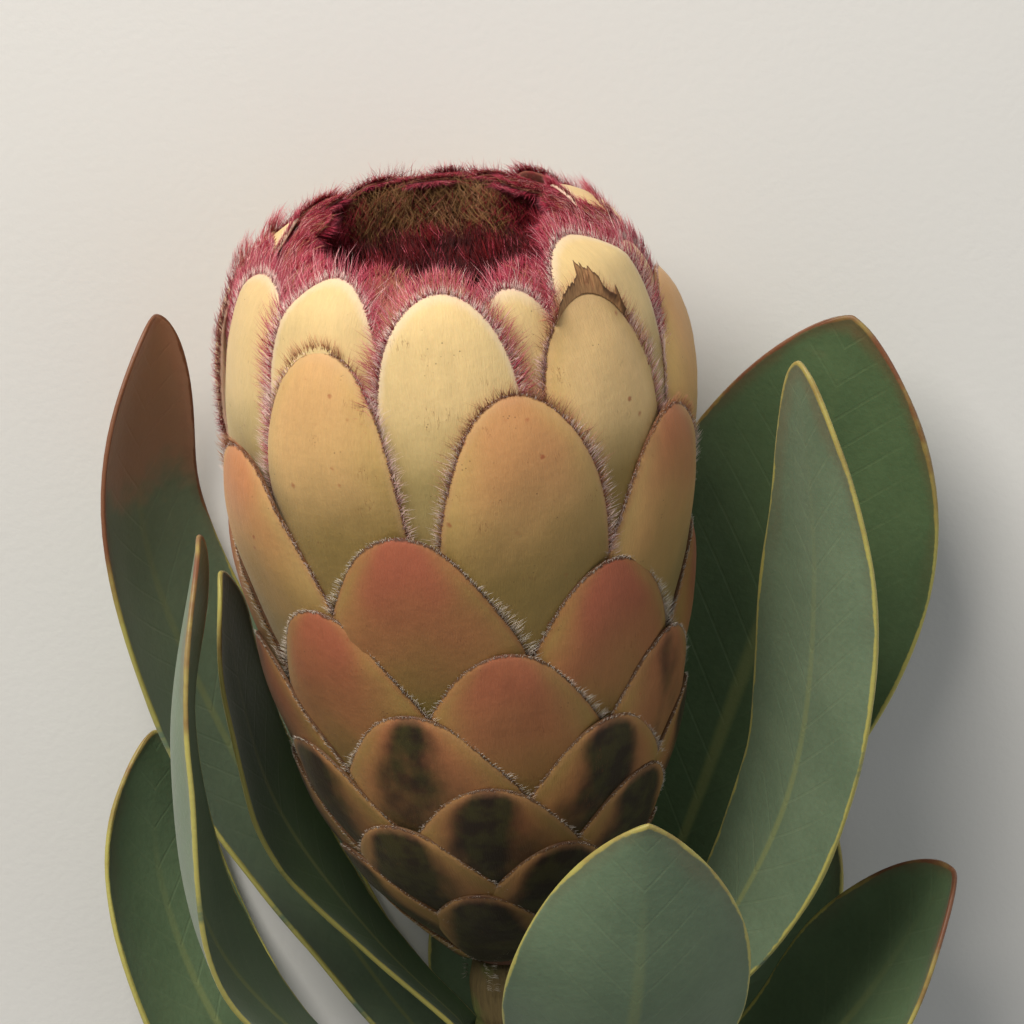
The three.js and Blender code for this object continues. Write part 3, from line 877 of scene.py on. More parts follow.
sleeve_foot = CUP_FLOOR + WALL_GAP
sleeve = wall(LAST_MIDDLE, 1, 5, sleeve_foot, SLEEVE_TOP)
OCHRE = range(LAST_OUTER + 1, LAST_MIDDLE + 1)
series("ochre_bracts", OCHRE, [*sleeve, sleeve[0]], middle_skin, "middle_bracts", "ochre_bract", 12)

# %% [markdown]
# ### The core of the head
#
# The innermost bracts stand on a solid core with a bowl sunk into its top, in which the florets
# stand. The bowl's wall follows the innermost bracts up into the mouth. The last nine bracts curl in
# over it from the sides and the back, and leave the mouth open to the front.

# %% The cream bracts and their core
BOWL_FOOT = 60
BOWL_RIM = 86
BOWL_ROOM = 1.2
bowl_wall = layer_profile(bract_layer(LAST_BRACT) + BOWL_ROOM / LAYER, BOWL_RIM, 102, 10)
bowl = [(0, BOWL_FOOT), (9, BOWL_FOOT + 1), (14, BOWL_FOOT + 12), bowl_wall[0]]
core_wall = layer_profile(bract_layer(LAST_BRACT) + 1, sleeve_foot, CORE_TOP)
core = [(0, sleeve_foot), *core_wall, *bowl[::-1]]
CREAM = [*range(LAST_MIDDLE + 1, LAST_BRACT + 1), *CURLED_IN]
series("cream_bracts", CREAM, core, inner_skin, "inner_bracts", "cream_bract", 13)

# %% [markdown]
# ### A torn edge
#
# Over the tip of one of the ochre bracts a scrap of its dried skin stands up, brown and ragged like
# burnt paper. It is one more wrapped sheet: it runs along the margin, and its free edge follows a
# row of heights, with one high tooth, a low stretch and a single splinter at the end.

# %% Build the torn edge
TORN_BRACT = 10
TORN_COLUMNS = 12
TORN_ROWS = 90
TORN_START = -0.5
TORN_END = 0.66
TORN_THICKNESS = 0.1
torn_height = through([
    (0, 0.1), (0.06, 0.6), (0.2, 0.9), (0.36, 1.0), (0.42, 1.3), (0.46, 2.7), (0.5, 2.5), (0.56, 2.4),
    (0.64, 2.0), (0.7, 1.3), (0.74, 0.5), (0.84, 0.25), (0.88, 0.3), (0.91, 1.9), (0.94, 0.4), (1, 0.1),
])

torn_skin, shader = start_material("torn_skin")
fibre = noise(stretched(attribute("grain", "Vector"), (3.0, 0.5, 1.0)), 1.6, 4.0)
paper = mix(ease(fibre, 0.3, 0.7), srgb(150, 106, 66), srgb(184, 138, 90))
burnt = ease(attribute("margin"), 0.3, 0.05)
fill(shader, {
    "Base Color": painted(paper, [(burnt, 0.8, srgb(66, 36, 20))]),
    "Roughness": 0.7,
    "Normal": bump(fibre, 0.0002, 0.4),
})

mesh = marked_mesh("margin")
corners, turn, way = wrapped_sheet(mesh, TORN_COLUMNS, TORN_ROWS)
half = bract_half_width(TORN_BRACT)
across = (TORN_START + (TORN_END - TORN_START) * way) * half
at_margin = tip_round(TORN_BRACT) * (1 - np.sqrt(1 - (across / half) ** 2))
height = torn_height(way) * (1 + 0.1 * np.sin(way * 83) + 0.08 * np.sin(way * 151 + 1))
free = (1 - np.cos(turn)) / 2
down = at_margin + 0.5 - (height + 0.5) * free
standing = 0.05 + 0.9 * free**1.5 + 0.15 * np.sin(way * 30) * free
places = on_bract(TORN_BRACT, down, across, standing + TORN_THICKNESS * np.sin(turn))
grain = np.stack([across, down, 0 * down], axis=1)
close_sheet(mesh, corners, places, {"margin": height * (1 - free), "grain": grain})
finish_piece(mesh, "torn_edge", torn_skin, "ochre_bract")

# %% [markdown]
# ## Hair, planted in code
#
# Much of the flower's look is hair: a fringe round each bract, wool at the foot, fur in the mouth.
# Blender's particle hair isn't a mesh, so each hair here is a thin three-sided cone, cut across so
# that it can bend. One cone is made with bmesh, and then copied along thousands of short paths.
# Long hairs have two cuts and short fuzz has one, which keeps the count of triangles low.

# %% Make one long hair and one short hair
def one_hair(cuts):
    """A three-sided cone with a few cuts: its corners, its faces and how they lie along it."""
    cone = bmesh.new()
    bmesh.ops.create_cone(
        cone, cap_ends=True, cap_tris=False, segments=3, radius1=1, radius2=0, depth=1,
    )
    bmesh.ops.remove_doubles(cone, verts=cone.verts, dist=1e-4)
    for cut in range(1, cuts + 1):
        height = cut / (cuts + 1) - 0.5
        everything = [*cone.verts, *cone.edges, *cone.faces]
        bmesh.ops.bisect_plane(cone, geom=everything, plane_co=(0, 0, height), plane_no=(0, 0, 1))
    bmesh.ops.triangulate(cone, faces=cone.faces)
    bmesh.ops.recalc_face_normals(cone, faces=cone.faces)
    cone.verts.index_update()
    corners = np.array([vert.co for vert in cone.verts])
    faces = np.array([[vert.index for vert in face.verts] for face in cone.faces])
    cone.free()
    ring = np.round((corners[:, 2] + 0.5) * (cuts + 1)).astype(int)
    return {
        "faces": faces, "ring": ring, "along": ring / (cuts + 1), "steps": np.linspace(0, 1, cuts + 2),
        "angle": np.arctan2(corners[:, 1], corners[:, 0]),
        "taper": np.interp(ring / (cuts + 1), (0, 1 / 3, 2 / 3, 1), (1, 0.85, 0.55, 0)),
    }


LONG_HAIR = one_hair(2)
SHORT_HAIR = one_hair(1)
print("A long hair has", len(LONG_HAIR["faces"]), "triangles, a short one", len(SHORT_HAIR["faces"]))


# %% Plant a coat of hair along many paths
def head_normals(roots):
    """The way out of the head at each place."""
    out, up = at_arc(arc_at(roots[:, 2]), outline_way)
    outwards = up / np.hypot(roots[:, 0], roots[:, 1])
    return np.stack([roots[:, 0] * outwards, roots[:, 1] * outwards, -out], axis=1)


def plant_hair(name, hair, paths, widths, tones, leans=None):
    """A piece with one hair for each path; a path has a point for each of the hair's steps."""
    count = len(paths)
    leans = head_normals(paths[:, 0]) if leans is None else leans
    ways = np.gradient(paths, axis=1)
    ways /= np.linalg.norm(ways, axis=2)[..., None] + 1e-9
    first = np.cross(ways, np.array([0.31, 0.52, 0.79]))
    first /= np.linalg.norm(first, axis=2)[..., None] + 1e-9
    second = np.cross(ways, first)
    ring = hair["ring"]
    size = widths[:, None] * hair["taper"][None, :]
    places = (
        paths[:, ring]
        + first[:, ring] * (size * np.cos(hair["angle"]))[..., None]
        + second[:, ring] * (size * np.sin(hair["angle"]))[..., None]
    )
    faces = hair["faces"][None] + (np.arange(count) * len(ring))[:, None, None]
    data = bpy.data.meshes.new(name)
    data.from_pydata(places.reshape(-1, 3), [], faces.reshape(-1, 3))
    data.polygons.foreach_set("use_smooth", np.ones(len(data.polygons), bool))
    chance = np.random.default_rng(len(name)).uniform(size=count)
    marks = {
        "along": np.tile(hair["along"], count),
        "tone": np.repeat(np.clip(tones, 0, 1), len(ring)),
        "luck": np.repeat(chance, len(ring)),
    }
    for label, values in marks.items():
        data.attributes.new(label, "FLOAT", "POINT").data.foreach_set("value", values.astype(np.float32))
    turned = (leans @ np.array(lay_down.to_3x3()).T).astype(np.float32)
    coat_way = data.attributes.new("coat_way", "FLOAT_VECTOR", "POINT")
    coat_way.data.foreach_set("vector", np.repeat(turned, len(ring), axis=0).ravel())
    add_piece(name, data, flower_hair)
    data.update()
    print(name, "has", count, "hairs and", len(data.polygons), "triangles")


# %% [markdown]
# ## Hair finish
#
# One material serves all the hair. A tone from 0 to 1 picks a pair of colours, one for the hair's
# root and one for its tip: white wool, pale pink, rose, crimson, wine, dark wine, olive, dusty tan
# and rust, in that order. The way along the hair blends from the one to the other. Light goes round
# and through a real hair, so a coat is lit as the surface under it is: each hair knows the way out
# of the surface that it stands on, and its own shading is drawn part of the way towards that.

# %% The hair material
HAIR_STOPS = [
    (0.0, (204, 194, 172), (226, 218, 200)), (0.14, (230, 190, 180), (242, 214, 204)),
    (0.28, (196, 78, 102), (212, 112, 126)), (0.42, (156, 28, 52), (182, 58, 80)),
    (0.58, (88, 8, 14), (126, 20, 26)), (0.72, (30, 1, 3), (60, 3, 7)),
    (0.78, (124, 88, 48), (152, 114, 68)), (0.84, (168, 104, 80), (202, 144, 114)),
    (1.0, (152, 96, 56), (190, 138, 92)),
]
ROOT_COLOUR = 1
TIP_COLOUR = 2


def hair_ramp(tone, which):
    """The colours of the hair's root or its tip, by its tone."""
    ramp = add_node("ValToRGB", {"Fac": tone})
    elements = ramp.color_ramp.elements
    for element, stop in zip(list(elements), (HAIR_STOPS[0], HAIR_STOPS[-1])):
        element.position = stop[0]
        element.color = srgb(*stop[which])
    for stop in HAIR_STOPS[1:-1]:
        elements.new(stop[0]).color = srgb(*stop[which])
    return ramp.outputs["Color"]


flower_hair, shader = start_material("flower_hair")
tone = attribute("tone")
grown = ease(attribute("along"), 0.05, 0.85)
colour = mix(grown, hair_ramp(tone, ROOT_COLOUR), hair_ramp(tone, TIP_COLOUR))
coat_way = add_node(
    "VectorTransform", {"Vector": attribute("coat_way", "Vector")},
    vector_type="NORMAL", convert_from="OBJECT", convert_to="WORLD",
).outputs["Vector"]
own_way = add_node("NewGeometry").outputs["Normal"]
facing = add_node("VectorMath", {0: own_way, 1: coat_way}, operation="DOT_PRODUCT").outputs["Value"]
share = times(ease(facing, -0.3, 0.8), 0.65)
between = add_node("Mix", {0: share, 4: own_way, 5: coat_way}, data_type="VECTOR").outputs[1]
fill(shader, {
    "Base Color": mix(1.0, colour, scaled(attribute("luck"), 0.5, 0.72), "MULTIPLY"),
    "Roughness": 0.5,
    "Specular IOR Level": 0.15,
    "Sheen Weight": 0.05,
    "Normal": add_node("VectorMath", {0: between}, operation="NORMALIZE").outputs["Vector"],
})
print("Hair material", flower_hair.name, "with", len(HAIR_STOPS), "pairs of colours")

# %% [markdown]
# ## Fringes
#
# Along its margin each bract carries hair. It points out from the margin and forward to the tip of
# the head, and lies close over the bract behind. A coat is a set of hairs of one kind, with its
# length and its tone told by how far down from the tip the hair stands. The ochre bracts carry a
# ragged rusty fringe at the tip, apart from one that is smooth, and three bracts have tan silk. The
# cream ones carry long pink silk under short pale fuzz, and the lower ones white wool that grows
# towards the foot of each margin.

# %% The margin as a line, and hairs that stand on it
SIDE_LENGTH = 13
CLEARS_NEXT = 0.5


def margin_line(bract):
    """The margin, from one side over the tip to the other: its down, across and running length."""
    ring = np.linspace(0, math.pi / 2, 80)
    straight = tip_round(bract) + np.linspace(0, SIDE_LENGTH, 40)[1:]
    down = np.concatenate([tip_round(bract) * (1 - np.cos(ring)), straight])
    half = bract_width(bract, down)
    down = np.concatenate([down[::-1], down[1:]])
    across = np.concatenate([-half[::-1], half[1:]])
    length = np.concatenate([[0], np.cumsum(np.hypot(np.diff(down), np.diff(across)))])
    return down, across, length


def stepped(start, reach, steps):
    """Numbers that go from a start by a reach, at each step of a hair."""
    return start[:, None] + reach[:, None] * steps


def margin_hairs(bract, random, hair, per_mm, length_at, forward, inset):
    """Paths of hairs on a bract's margin, and how far down from its tip each hair stands."""
    line_down, line_across, line = margin_line(bract)
    count = int(line[-1] * per_mm)
    spots = random.uniform(0, line[-1], count)
    down = np.interp(spots, line, line_down)
    across = np.interp(spots, line, line_across)
    out_down = -np.interp(spots, line, np.gradient(line_across, line))
    out_across = np.interp(spots, line, np.gradient(line_down, line))
    fan = random.normal(0, 0.4, count)
    way_down = out_down * np.cos(fan) - out_across * np.sin(fan) - forward
    way_across = out_across * np.cos(fan) + out_down * np.sin(fan)
    size = np.hypot(way_down, way_across)
    length = length_at(bract, down) * random.uniform(0.5, 1.15, count)
    inside = random.uniform(0.05, inset, count)
    rise = random.uniform(0.0, 0.3, count) * length
    sunk = random.uniform(0.0, 0.6, count) * EDGE_THICKNESS
    curl = random.normal(0, 0.18, count) * length
    t = hair["steps"][None]
    run_down = stepped(down - out_down * inside, length * way_down / size, t)
    run_across = stepped(across - out_across * inside, length * way_across / size, t)
    run_across = run_across + curl[:, None] * t**2
    clear = CLEARS_NEXT * smooth(length[:, None] * t / 1.6)
    lift = rise[:, None] * t**1.4 - sunk[:, None] * (1 - t) + clear
    return on_bract(bract, run_down, run_across, lift), down


def plant_coat(
    name, bracts, hair, per_mm, length_at, tone_at, seed, forward=0.6, width=0.04, inset=0.4,
    uneven=0.03,
):
    """One kind of margin hair on a run of bracts; length and tone are asked for each bract."""
    random = np.random.default_rng(seed)
    paths = []
    tones = []
    for bract in bracts:
        made, down = margin_hairs(bract, random, hair, per_mm(bract), length_at, forward, inset)
        paths.append(made)
        tones.append(tone_at(bract, down) + random.normal(0, uneven, len(made)))
    paths = np.concatenate(paths)
    widths = random.uniform(0.75, 1.25, len(paths)) * width
    plant_hair(name, hair, paths, widths, np.concatenate(tones))


print("Hair stands on the last", SIDE_LENGTH, "mm of each side and round the tip")

# %% Wool on the lower bracts
wool_length = through([(-38, 0.8), (-20, 1.0), (-8, 1.4), (0, 1.7)])
plant_coat(
    "foot_wool", RUSSET, SHORT_HAIR,
    per_mm=through([(-38, 5), (-10, 8), (0, 10)]),
    length_at=lambda bract, down: wool_length(bract) * (0.35 + smooth((down - 3) / 12)),
    tone_at=lambda bract, down: 0.03,
    seed=21, forward=0.9, width=0.035,
)

# %% Rusty fringe and pale fuzz on the ochre bracts, tan silk on three bracts
SMOOTH_EDGED = 7
plant_coat(
    "rusty_fringe", [bract for bract in OCHRE if bract != SMOOTH_EDGED], LONG_HAIR,
    per_mm=through([(1, 7), (10, 10)]),
    length_at=lambda bract, down: 0.4 + (1.3 + 0.07 * bract) * smooth((9 - down) / 8),
    tone_at=lambda bract, down: 0.91 - 0.05 * smooth((down - 6) / 5),
    seed=22, width=0.036,
)
plant_coat(
    "ochre_fuzz", OCHRE, SHORT_HAIR,
    per_mm=through([(1, 9), (10, 13)]),
    length_at=lambda bract, down: 0.3 + (1.1 + 0.1 * bract) * smooth((down - 2) / 7),
    tone_at=lambda bract, down: 0.06 + 0.01 * bract,
    seed=23, forward=0.8, width=0.032,
)
plant_coat(
    "tan_silk", [5, 10, 13], LONG_HAIR,
    per_mm=through([(5, 7), (10, 9)]),
    length_at=lambda bract, down: 1.2 + 1.6 * smooth((down - 1) / 3) * smooth((16 - down) / 6),
    tone_at=lambda bract, down: 0.86,
    seed=27, width=0.032,
)

# %% Long pink silk and pale fuzz on the cream bracts
LAST_BARE = 23
BARE = range(LAST_MIDDLE + 1, LAST_BARE + 1)
plant_coat(
    "pink_silk", BARE, LONG_HAIR,
    per_mm=lambda bract: 14,
    length_at=lambda bract, down: 3.4 - 1.2 * smooth((down - 9) / 12),
    tone_at=lambda bract, down: 0.31 + 0.07 * smooth((down - 3) / 6),
    seed=24, width=0.034, uneven=0.07,
)
plant_coat(
    "pale_fuzz", BARE, SHORT_HAIR,
    per_mm=lambda bract: 23,
    length_at=lambda bract, down: 1.1 + 0.5 * smooth((down - 3) / 6),
    tone_at=lambda bract, down: 0.13 + 0.02 * smooth((down - 3) / 6),
    seed=25, forward=0.3, width=0.03, inset=0.5,
)

# %% Soft hair round the furred bracts of the crown
FIRST_FURRED = 22
FURRED = [FIRST_FURRED, *range(LAST_BARE + 1, LAST_BRACT + 1), *CURLED_IN]
crown_length = through([(LAST_BRACT, 1), (LAST_BRACT + 1, 0.75)])
plant_coat(
    "crown_fringe", FURRED, SHORT_HAIR,
    per_mm=through([(22, 12), (34, 14), (46, 20)]),
    length_at=lambda bract, down: (1.7 - 0.3 * smooth((down - 3) / 6)) * crown_length(bract),
    tone_at=lambda bract, down: 0.3 + 0.006 * (bract - FIRST_FURRED),
    seed=26, forward=0.3, width=0.034, inset=0.7, uneven=0.07,
)

# %% [markdown]
# ## The crown
#
# The innermost bracts are furred all over, but for a few smooth ones. Their hair lies flat and
# points over the rim into the mouth: rose outside, crimson nearer the mouth and along each margin,
# where the coat is thin, with pale hairs among them and dusty tan ones at the front. The tone
# therefore follows the distance from the flower's axis and from the margin.

# %% Fur on the crown
CROWN_HAIRS = 800
CROWN_REACH = 9.0
PALE_SHARE = 0.25
DUSTY_SHARE = 0.14
DUSTY_IN_FRONT = 0.66

furriness = through([(21, 0), (22, 0.6), (23, 0), (24, 0.9), (26, 1), (31, 1), (32, 0), (33, 0), (34, 1)])
crown_tone = through([(9, 0.6), (12.5, 0.5), (15, 0.42), (18, 0.36), (22, 0.34)])


def crown_hairs(bract, random):
    """Hairs that lie on a bract's outer face near its tip and point over the rim."""
    count = int(CROWN_HAIRS * furriness(bract))
    down = random.uniform(0, 1, count) ** 1.1 * CROWN_REACH
    across = random.uniform(-1, 1, count) * bract_width(bract, down)
    length = random.uniform(1.2, 3.0, count) * (1 - 0.5 * smooth(1 - down / 2.5))
    drift = random.normal(0, 0.5, count) - 0.25 * across / bract_half_width(bract)
    rise = random.uniform(0.02, 0.3, count)
    t = LONG_HAIR["steps"][None]
    run_down = stepped(down, -length, t)
    run_across = stepped(across, length * drift, t)
    lift = -0.1 + (length * rise)[:, None] * np.sin(t * 2.2)
    return on_bract(bract, run_down, run_across, lift), margin_distance(bract, down, across)


def retoned(tones, random, share, low, high):
    """The tones, of which a share of the hairs gets a random one between two."""
    chosen = random.uniform(0, 1, len(tones)) < share
    return np.where(chosen, random.uniform(low, high, len(tones)), tones)


def gathered(made):
    """The paths of many bracts, and what is known of each hair, as two long arrays."""
    return (np.concatenate(part) for part in zip(*made))


def plant_crown(name, bracts, seed):
    """The fur of a run of bracts, toned by how far it is from the flower's axis and the margin."""
    random = np.random.default_rng(seed)
    paths, margin = gathered(crown_hairs(bract, random) for bract in bracts)
    from_axis = np.hypot(paths[:, 0, 0], paths[:, 0, 1])
    around = np.arctan2(paths[:, 0, 0], -paths[:, 0, 1])
    patches = np.sin(around * 5 + 0.7) * np.sin(around * 9 + from_axis * 0.7)
    patches = patches + 0.6 * np.sin(around * 23 + from_axis)
    tones = crown_tone(from_axis) + 0.05 * patches + random.normal(0, 0.04, len(paths))
    tones = tones + 0.12 * smooth(1 - margin / 1.4) + 0.05 * smooth((np.abs(around) - 0.8) / 0.5)
    outside = smooth((from_axis - 13) / 3)
    in_front = smooth(1 - np.abs(around + 0.1) / 0.45)
    tones = retoned(tones, random, PALE_SHARE * outside * smooth(margin / 2), 0.16, 0.26)
    tones = retoned(tones, random, DUSTY_SHARE + DUSTY_IN_FRONT * in_front * outside, 0.83, 0.9)
    plant_hair(name, LONG_HAIR, paths, random.uniform(0.03, 0.045, len(paths)), tones)


plant_crown("crown_fur", range(LAST_MIDDLE + 1, LAST_BRACT + 1), 32)
plant_crown("rim_fur", CURLED_IN, 34)

# %% [markdown]
# ## The mouth
#
# Inside the ring of bracts stand hundreds of florets, so furry that only their dark wine hair
# shows. A low dome fills the bowl, and hair stands all over it, drawn together into pointed tufts
# as damp fur is. The inner faces of the bracts are furred too. Against them stands a curtain of
# fine hair, wine at the sides and olive brown at the back, where the light falls in.

# %% The florets: a dome under tufted fur
FLORET_TOP = 93.4
FLORET_TUFTS = 44
TUFT_LENGTH = 5.2
TUFT_SPREAD = 3.0
ROOTS_SUNK = 0.8
STRAY_PINK_SHARE = 0.03
FLORET_HAIRS = 9000

floret_skin, shader = start_material("floret_felt")
felt = noise(add_node("TexCoord").outputs["Object"], 900.0)
fill(shader, {
    "Base Color": mix(felt, srgb(30, 3, 6), srgb(78, 12, 18)),
    "Roughness": 0.9,
    "Normal": bump(felt, 0.0008),
})

inside_wall = [(radius - WALL_GAP, z) for radius, z in bowl_wall if z <= BOWL_RIM + 4.5]
dome_radius, dome_foot = inside_wall[-1]
dome = [
    (dome_radius * math.cos(angle), dome_foot + (FLORET_TOP - dome_foot) * math.sin(angle))
    for angle in np.radians(np.linspace(10, 80, 8))
]
dome_floor = [
    (0, BOWL_FOOT + WALL_GAP), (9 - WALL_GAP, BOWL_FOOT + 1 + WALL_GAP), (14 - WALL_GAP, BOWL_FOOT + 12),
]
mesh = bmesh.new()
add_turned(mesh, [*dome_floor, *inside_wall, *dome, (0, FLORET_TOP)], {})
finish_piece(mesh, "floret_dome", floret_skin, "floret_fur", "florets")

# %% The tufts of the florets
random = np.random.default_rng(31)
tuft_index = np.arange(FLORET_TUFTS)
tuft_out = np.sqrt((tuft_index + 0.5) / FLORET_TUFTS) * (dome_radius - TUFT_SPREAD)
tuft_turn = tuft_index * SPIRAL_STEP
tuft_xy = np.stack([tuft_out * np.sin(tuft_turn), -tuft_out * np.cos(tuft_turn)], axis=1)
out = np.sqrt(random.uniform(0, 1, FLORET_HAIRS)) * (dome_radius - 0.5)
around = random.uniform(0, 2 * math.pi, FLORET_HAIRS)
root = np.stack([out * np.sin(around), -out * np.cos(around)], axis=1)
height = dome_foot + (FLORET_TOP - dome_foot) * np.sqrt(np.clip(1 - (out / dome_radius) ** 2, 0, 1))
gap = np.linalg.norm(root[:, None] - tuft_xy[None], axis=2)
nearest = gap.argmin(axis=1)
pull = np.exp(-gap.min(axis=1) / TUFT_SPREAD) * random.uniform(0.5, 1.0, FLORET_HAIRS)
tuft_lean = random.normal(0, 1.0, (FLORET_TUFTS, 2))
goal = (tuft_xy * 0.95 + tuft_lean)[nearest] + random.normal(0, 0.4, (FLORET_HAIRS, 2))
stray = root * 0.96 + random.normal(0, 1.2, (FLORET_HAIRS, 2))
end = goal * pull[:, None] + stray * (1 - pull[:, None])
length = TUFT_LENGTH * random.uniform(0.45, 1.0, FLORET_HAIRS) * (0.6 + 0.45 * pull)
t = LONG_HAIR["steps"][None, :, None]
flat = root[:, None] * (1 - t) + end[:, None] * t
tall = (height - ROOTS_SUNK)[:, None, None] + (length + ROOTS_SUNK)[:, None, None] * t**0.9
paths = np.concatenate([flat, tall], axis=2)
tuft_tone = random.uniform(0.6, 0.72, FLORET_TUFTS)
tones = tuft_tone[nearest] + random.normal(0, 0.03, FLORET_HAIRS) + 0.06 * (1 - pull)
tones = retoned(np.clip(tones, 0.4, 0.72), random, STRAY_PINK_SHARE, 0.3, 0.42)
leans = unit(paths[:, -1] - paths[:, 0] + np.array([0, 0, 2.0]))
widths = random.uniform(0.05, 0.08, FLORET_HAIRS)
plant_hair("floret_fur", LONG_HAIR, paths, widths, tones, leans)

# %% Fur on the inner faces
MOUTH_BRACTS = [30, 33, *CURLED_IN]
MOUTH_HAIRS = 1600
MOUTH_REACH = 14
OLIVE_SHARE = 0.92


def mouth_hairs(bract, random):
    """Hairs on a bract's inner face, that lean into the mouth and up, and how deep they stand."""
    down = random.uniform(0, 1, MOUTH_HAIRS) ** 1.2 * MOUTH_REACH
    across = random.uniform(-1, 1, MOUTH_HAIRS) * bract_width(bract, down + 0.3)
    length = random.uniform(1.2, 2.6, MOUTH_HAIRS)
    drift = random.normal(0, 0.5, MOUTH_HAIRS)
    stands = random.uniform(0.15, 0.45, MOUTH_HAIRS)
    t = SHORT_HAIR["steps"][None]
    run_down = stepped(down, -length * 0.75, t)
    run_across = stepped(across, length * drift, t)
    face = EDGE_THICKNESS * 0.8 + root_growth(down, margin_distance(bract, down, across))
    return on_bract(bract, run_down, run_across, stepped(-face, -length * stands, t)), down


random = np.random.default_rng(33)
paths, depth = gathered(mouth_hairs(bract, random) for bract in MOUTH_BRACTS)
tones = 0.36 + 0.16 * smooth(depth / 3) + random.normal(0, 0.05, len(paths))
from_back = np.abs(np.arctan2(paths[:, 0, 0], paths[:, 0, 1]))
in_patch = smooth((0.85 - from_back) / 0.3) * smooth((depth - 0.8) / 1.2)
tones = retoned(tones, random, OLIVE_SHARE * in_patch, 0.77, 0.82)
leans = unit(paths[:, -1] - paths[:, 0] - head_normals(paths[:, 0]) * 2)
widths = random.uniform(0.04, 0.06, len(paths))
plant_hair("mouth_fur", SHORT_HAIR, paths, widths, tones, leans)

# %% The curtain of hair against the wall: olive brown at the back, wine at the sides
CURTAIN_HAIRS = 9400
CURTAIN_HALF_TURN = 2.2
CURTAIN_FEET = (89, 99)
CURTAIN_RADII = (13.4, 15.0)
OLIVE_HALF_TURN = 0.55
FEWEST_WINE = 0.12

random = np.random.default_rng(35)
from_back = random.uniform(-1, 1, CURTAIN_HAIRS) * CURTAIN_HALF_TURN
turn = math.pi + from_back
aside = smooth((np.abs(from_back) - 0.5) / 0.6)
foot = random.uniform(*CURTAIN_FEET, CURTAIN_HAIRS) - 1.5 * aside
length = random.uniform(1.4, 3.4, CURTAIN_HAIRS) * (1 - 0.2 * aside)
clumps = np.sin(from_back * 31 + 0.8 * np.sin(foot * 0.9)) * np.sin(from_back * 13 + foot * 0.5)
radius = random.uniform(*CURTAIN_RADII, CURTAIN_HAIRS) + 0.3 * clumps
t = LONG_HAIR["steps"][None]
out = stepped(radius, -length * random.uniform(0.0, 0.4, CURTAIN_HAIRS), t**0.8)
sideways = stepped(turn, random.normal(0, 0.12, CURTAIN_HAIRS) + 0.06 * clumps, t)
paths = np.stack([out * np.sin(sideways), -out * np.cos(sideways), stepped(foot, length, t)], axis=2)
tones = 0.78 + 0.025 * clumps + random.normal(0, 0.018, CURTAIN_HAIRS)
to_side = smooth((np.abs(from_back) - OLIVE_HALF_TURN + 0.15 * clumps) / 0.35)
wine_share = FEWEST_WINE + (1 - FEWEST_WINE) * to_side
tones = retoned(tones, random, wine_share, 0.48, 0.62)
leans = np.stack([-np.sin(turn), np.cos(turn), 0.8 + 0 * turn], axis=1)
widths = random.uniform(0.03, 0.05, CURTAIN_HAIRS)
plant_hair("mouth_curtain", LONG_HAIR, paths, widths, tones, unit(leans))

# %% [markdown]
# ## Leaves
#
# The leaves are broad, leathery and grey-green, with a horny yellow margin that turns red-brown at
# the tip. Each follows a midrib from the stem, and the blade widens towards two thirds of its
# length. The blade is bent clear of the head, the stem and the table, as the CAD leaf is. `face` is
# where its inner side looks, `green` how deep its colour is and `blush` how brown its tip.

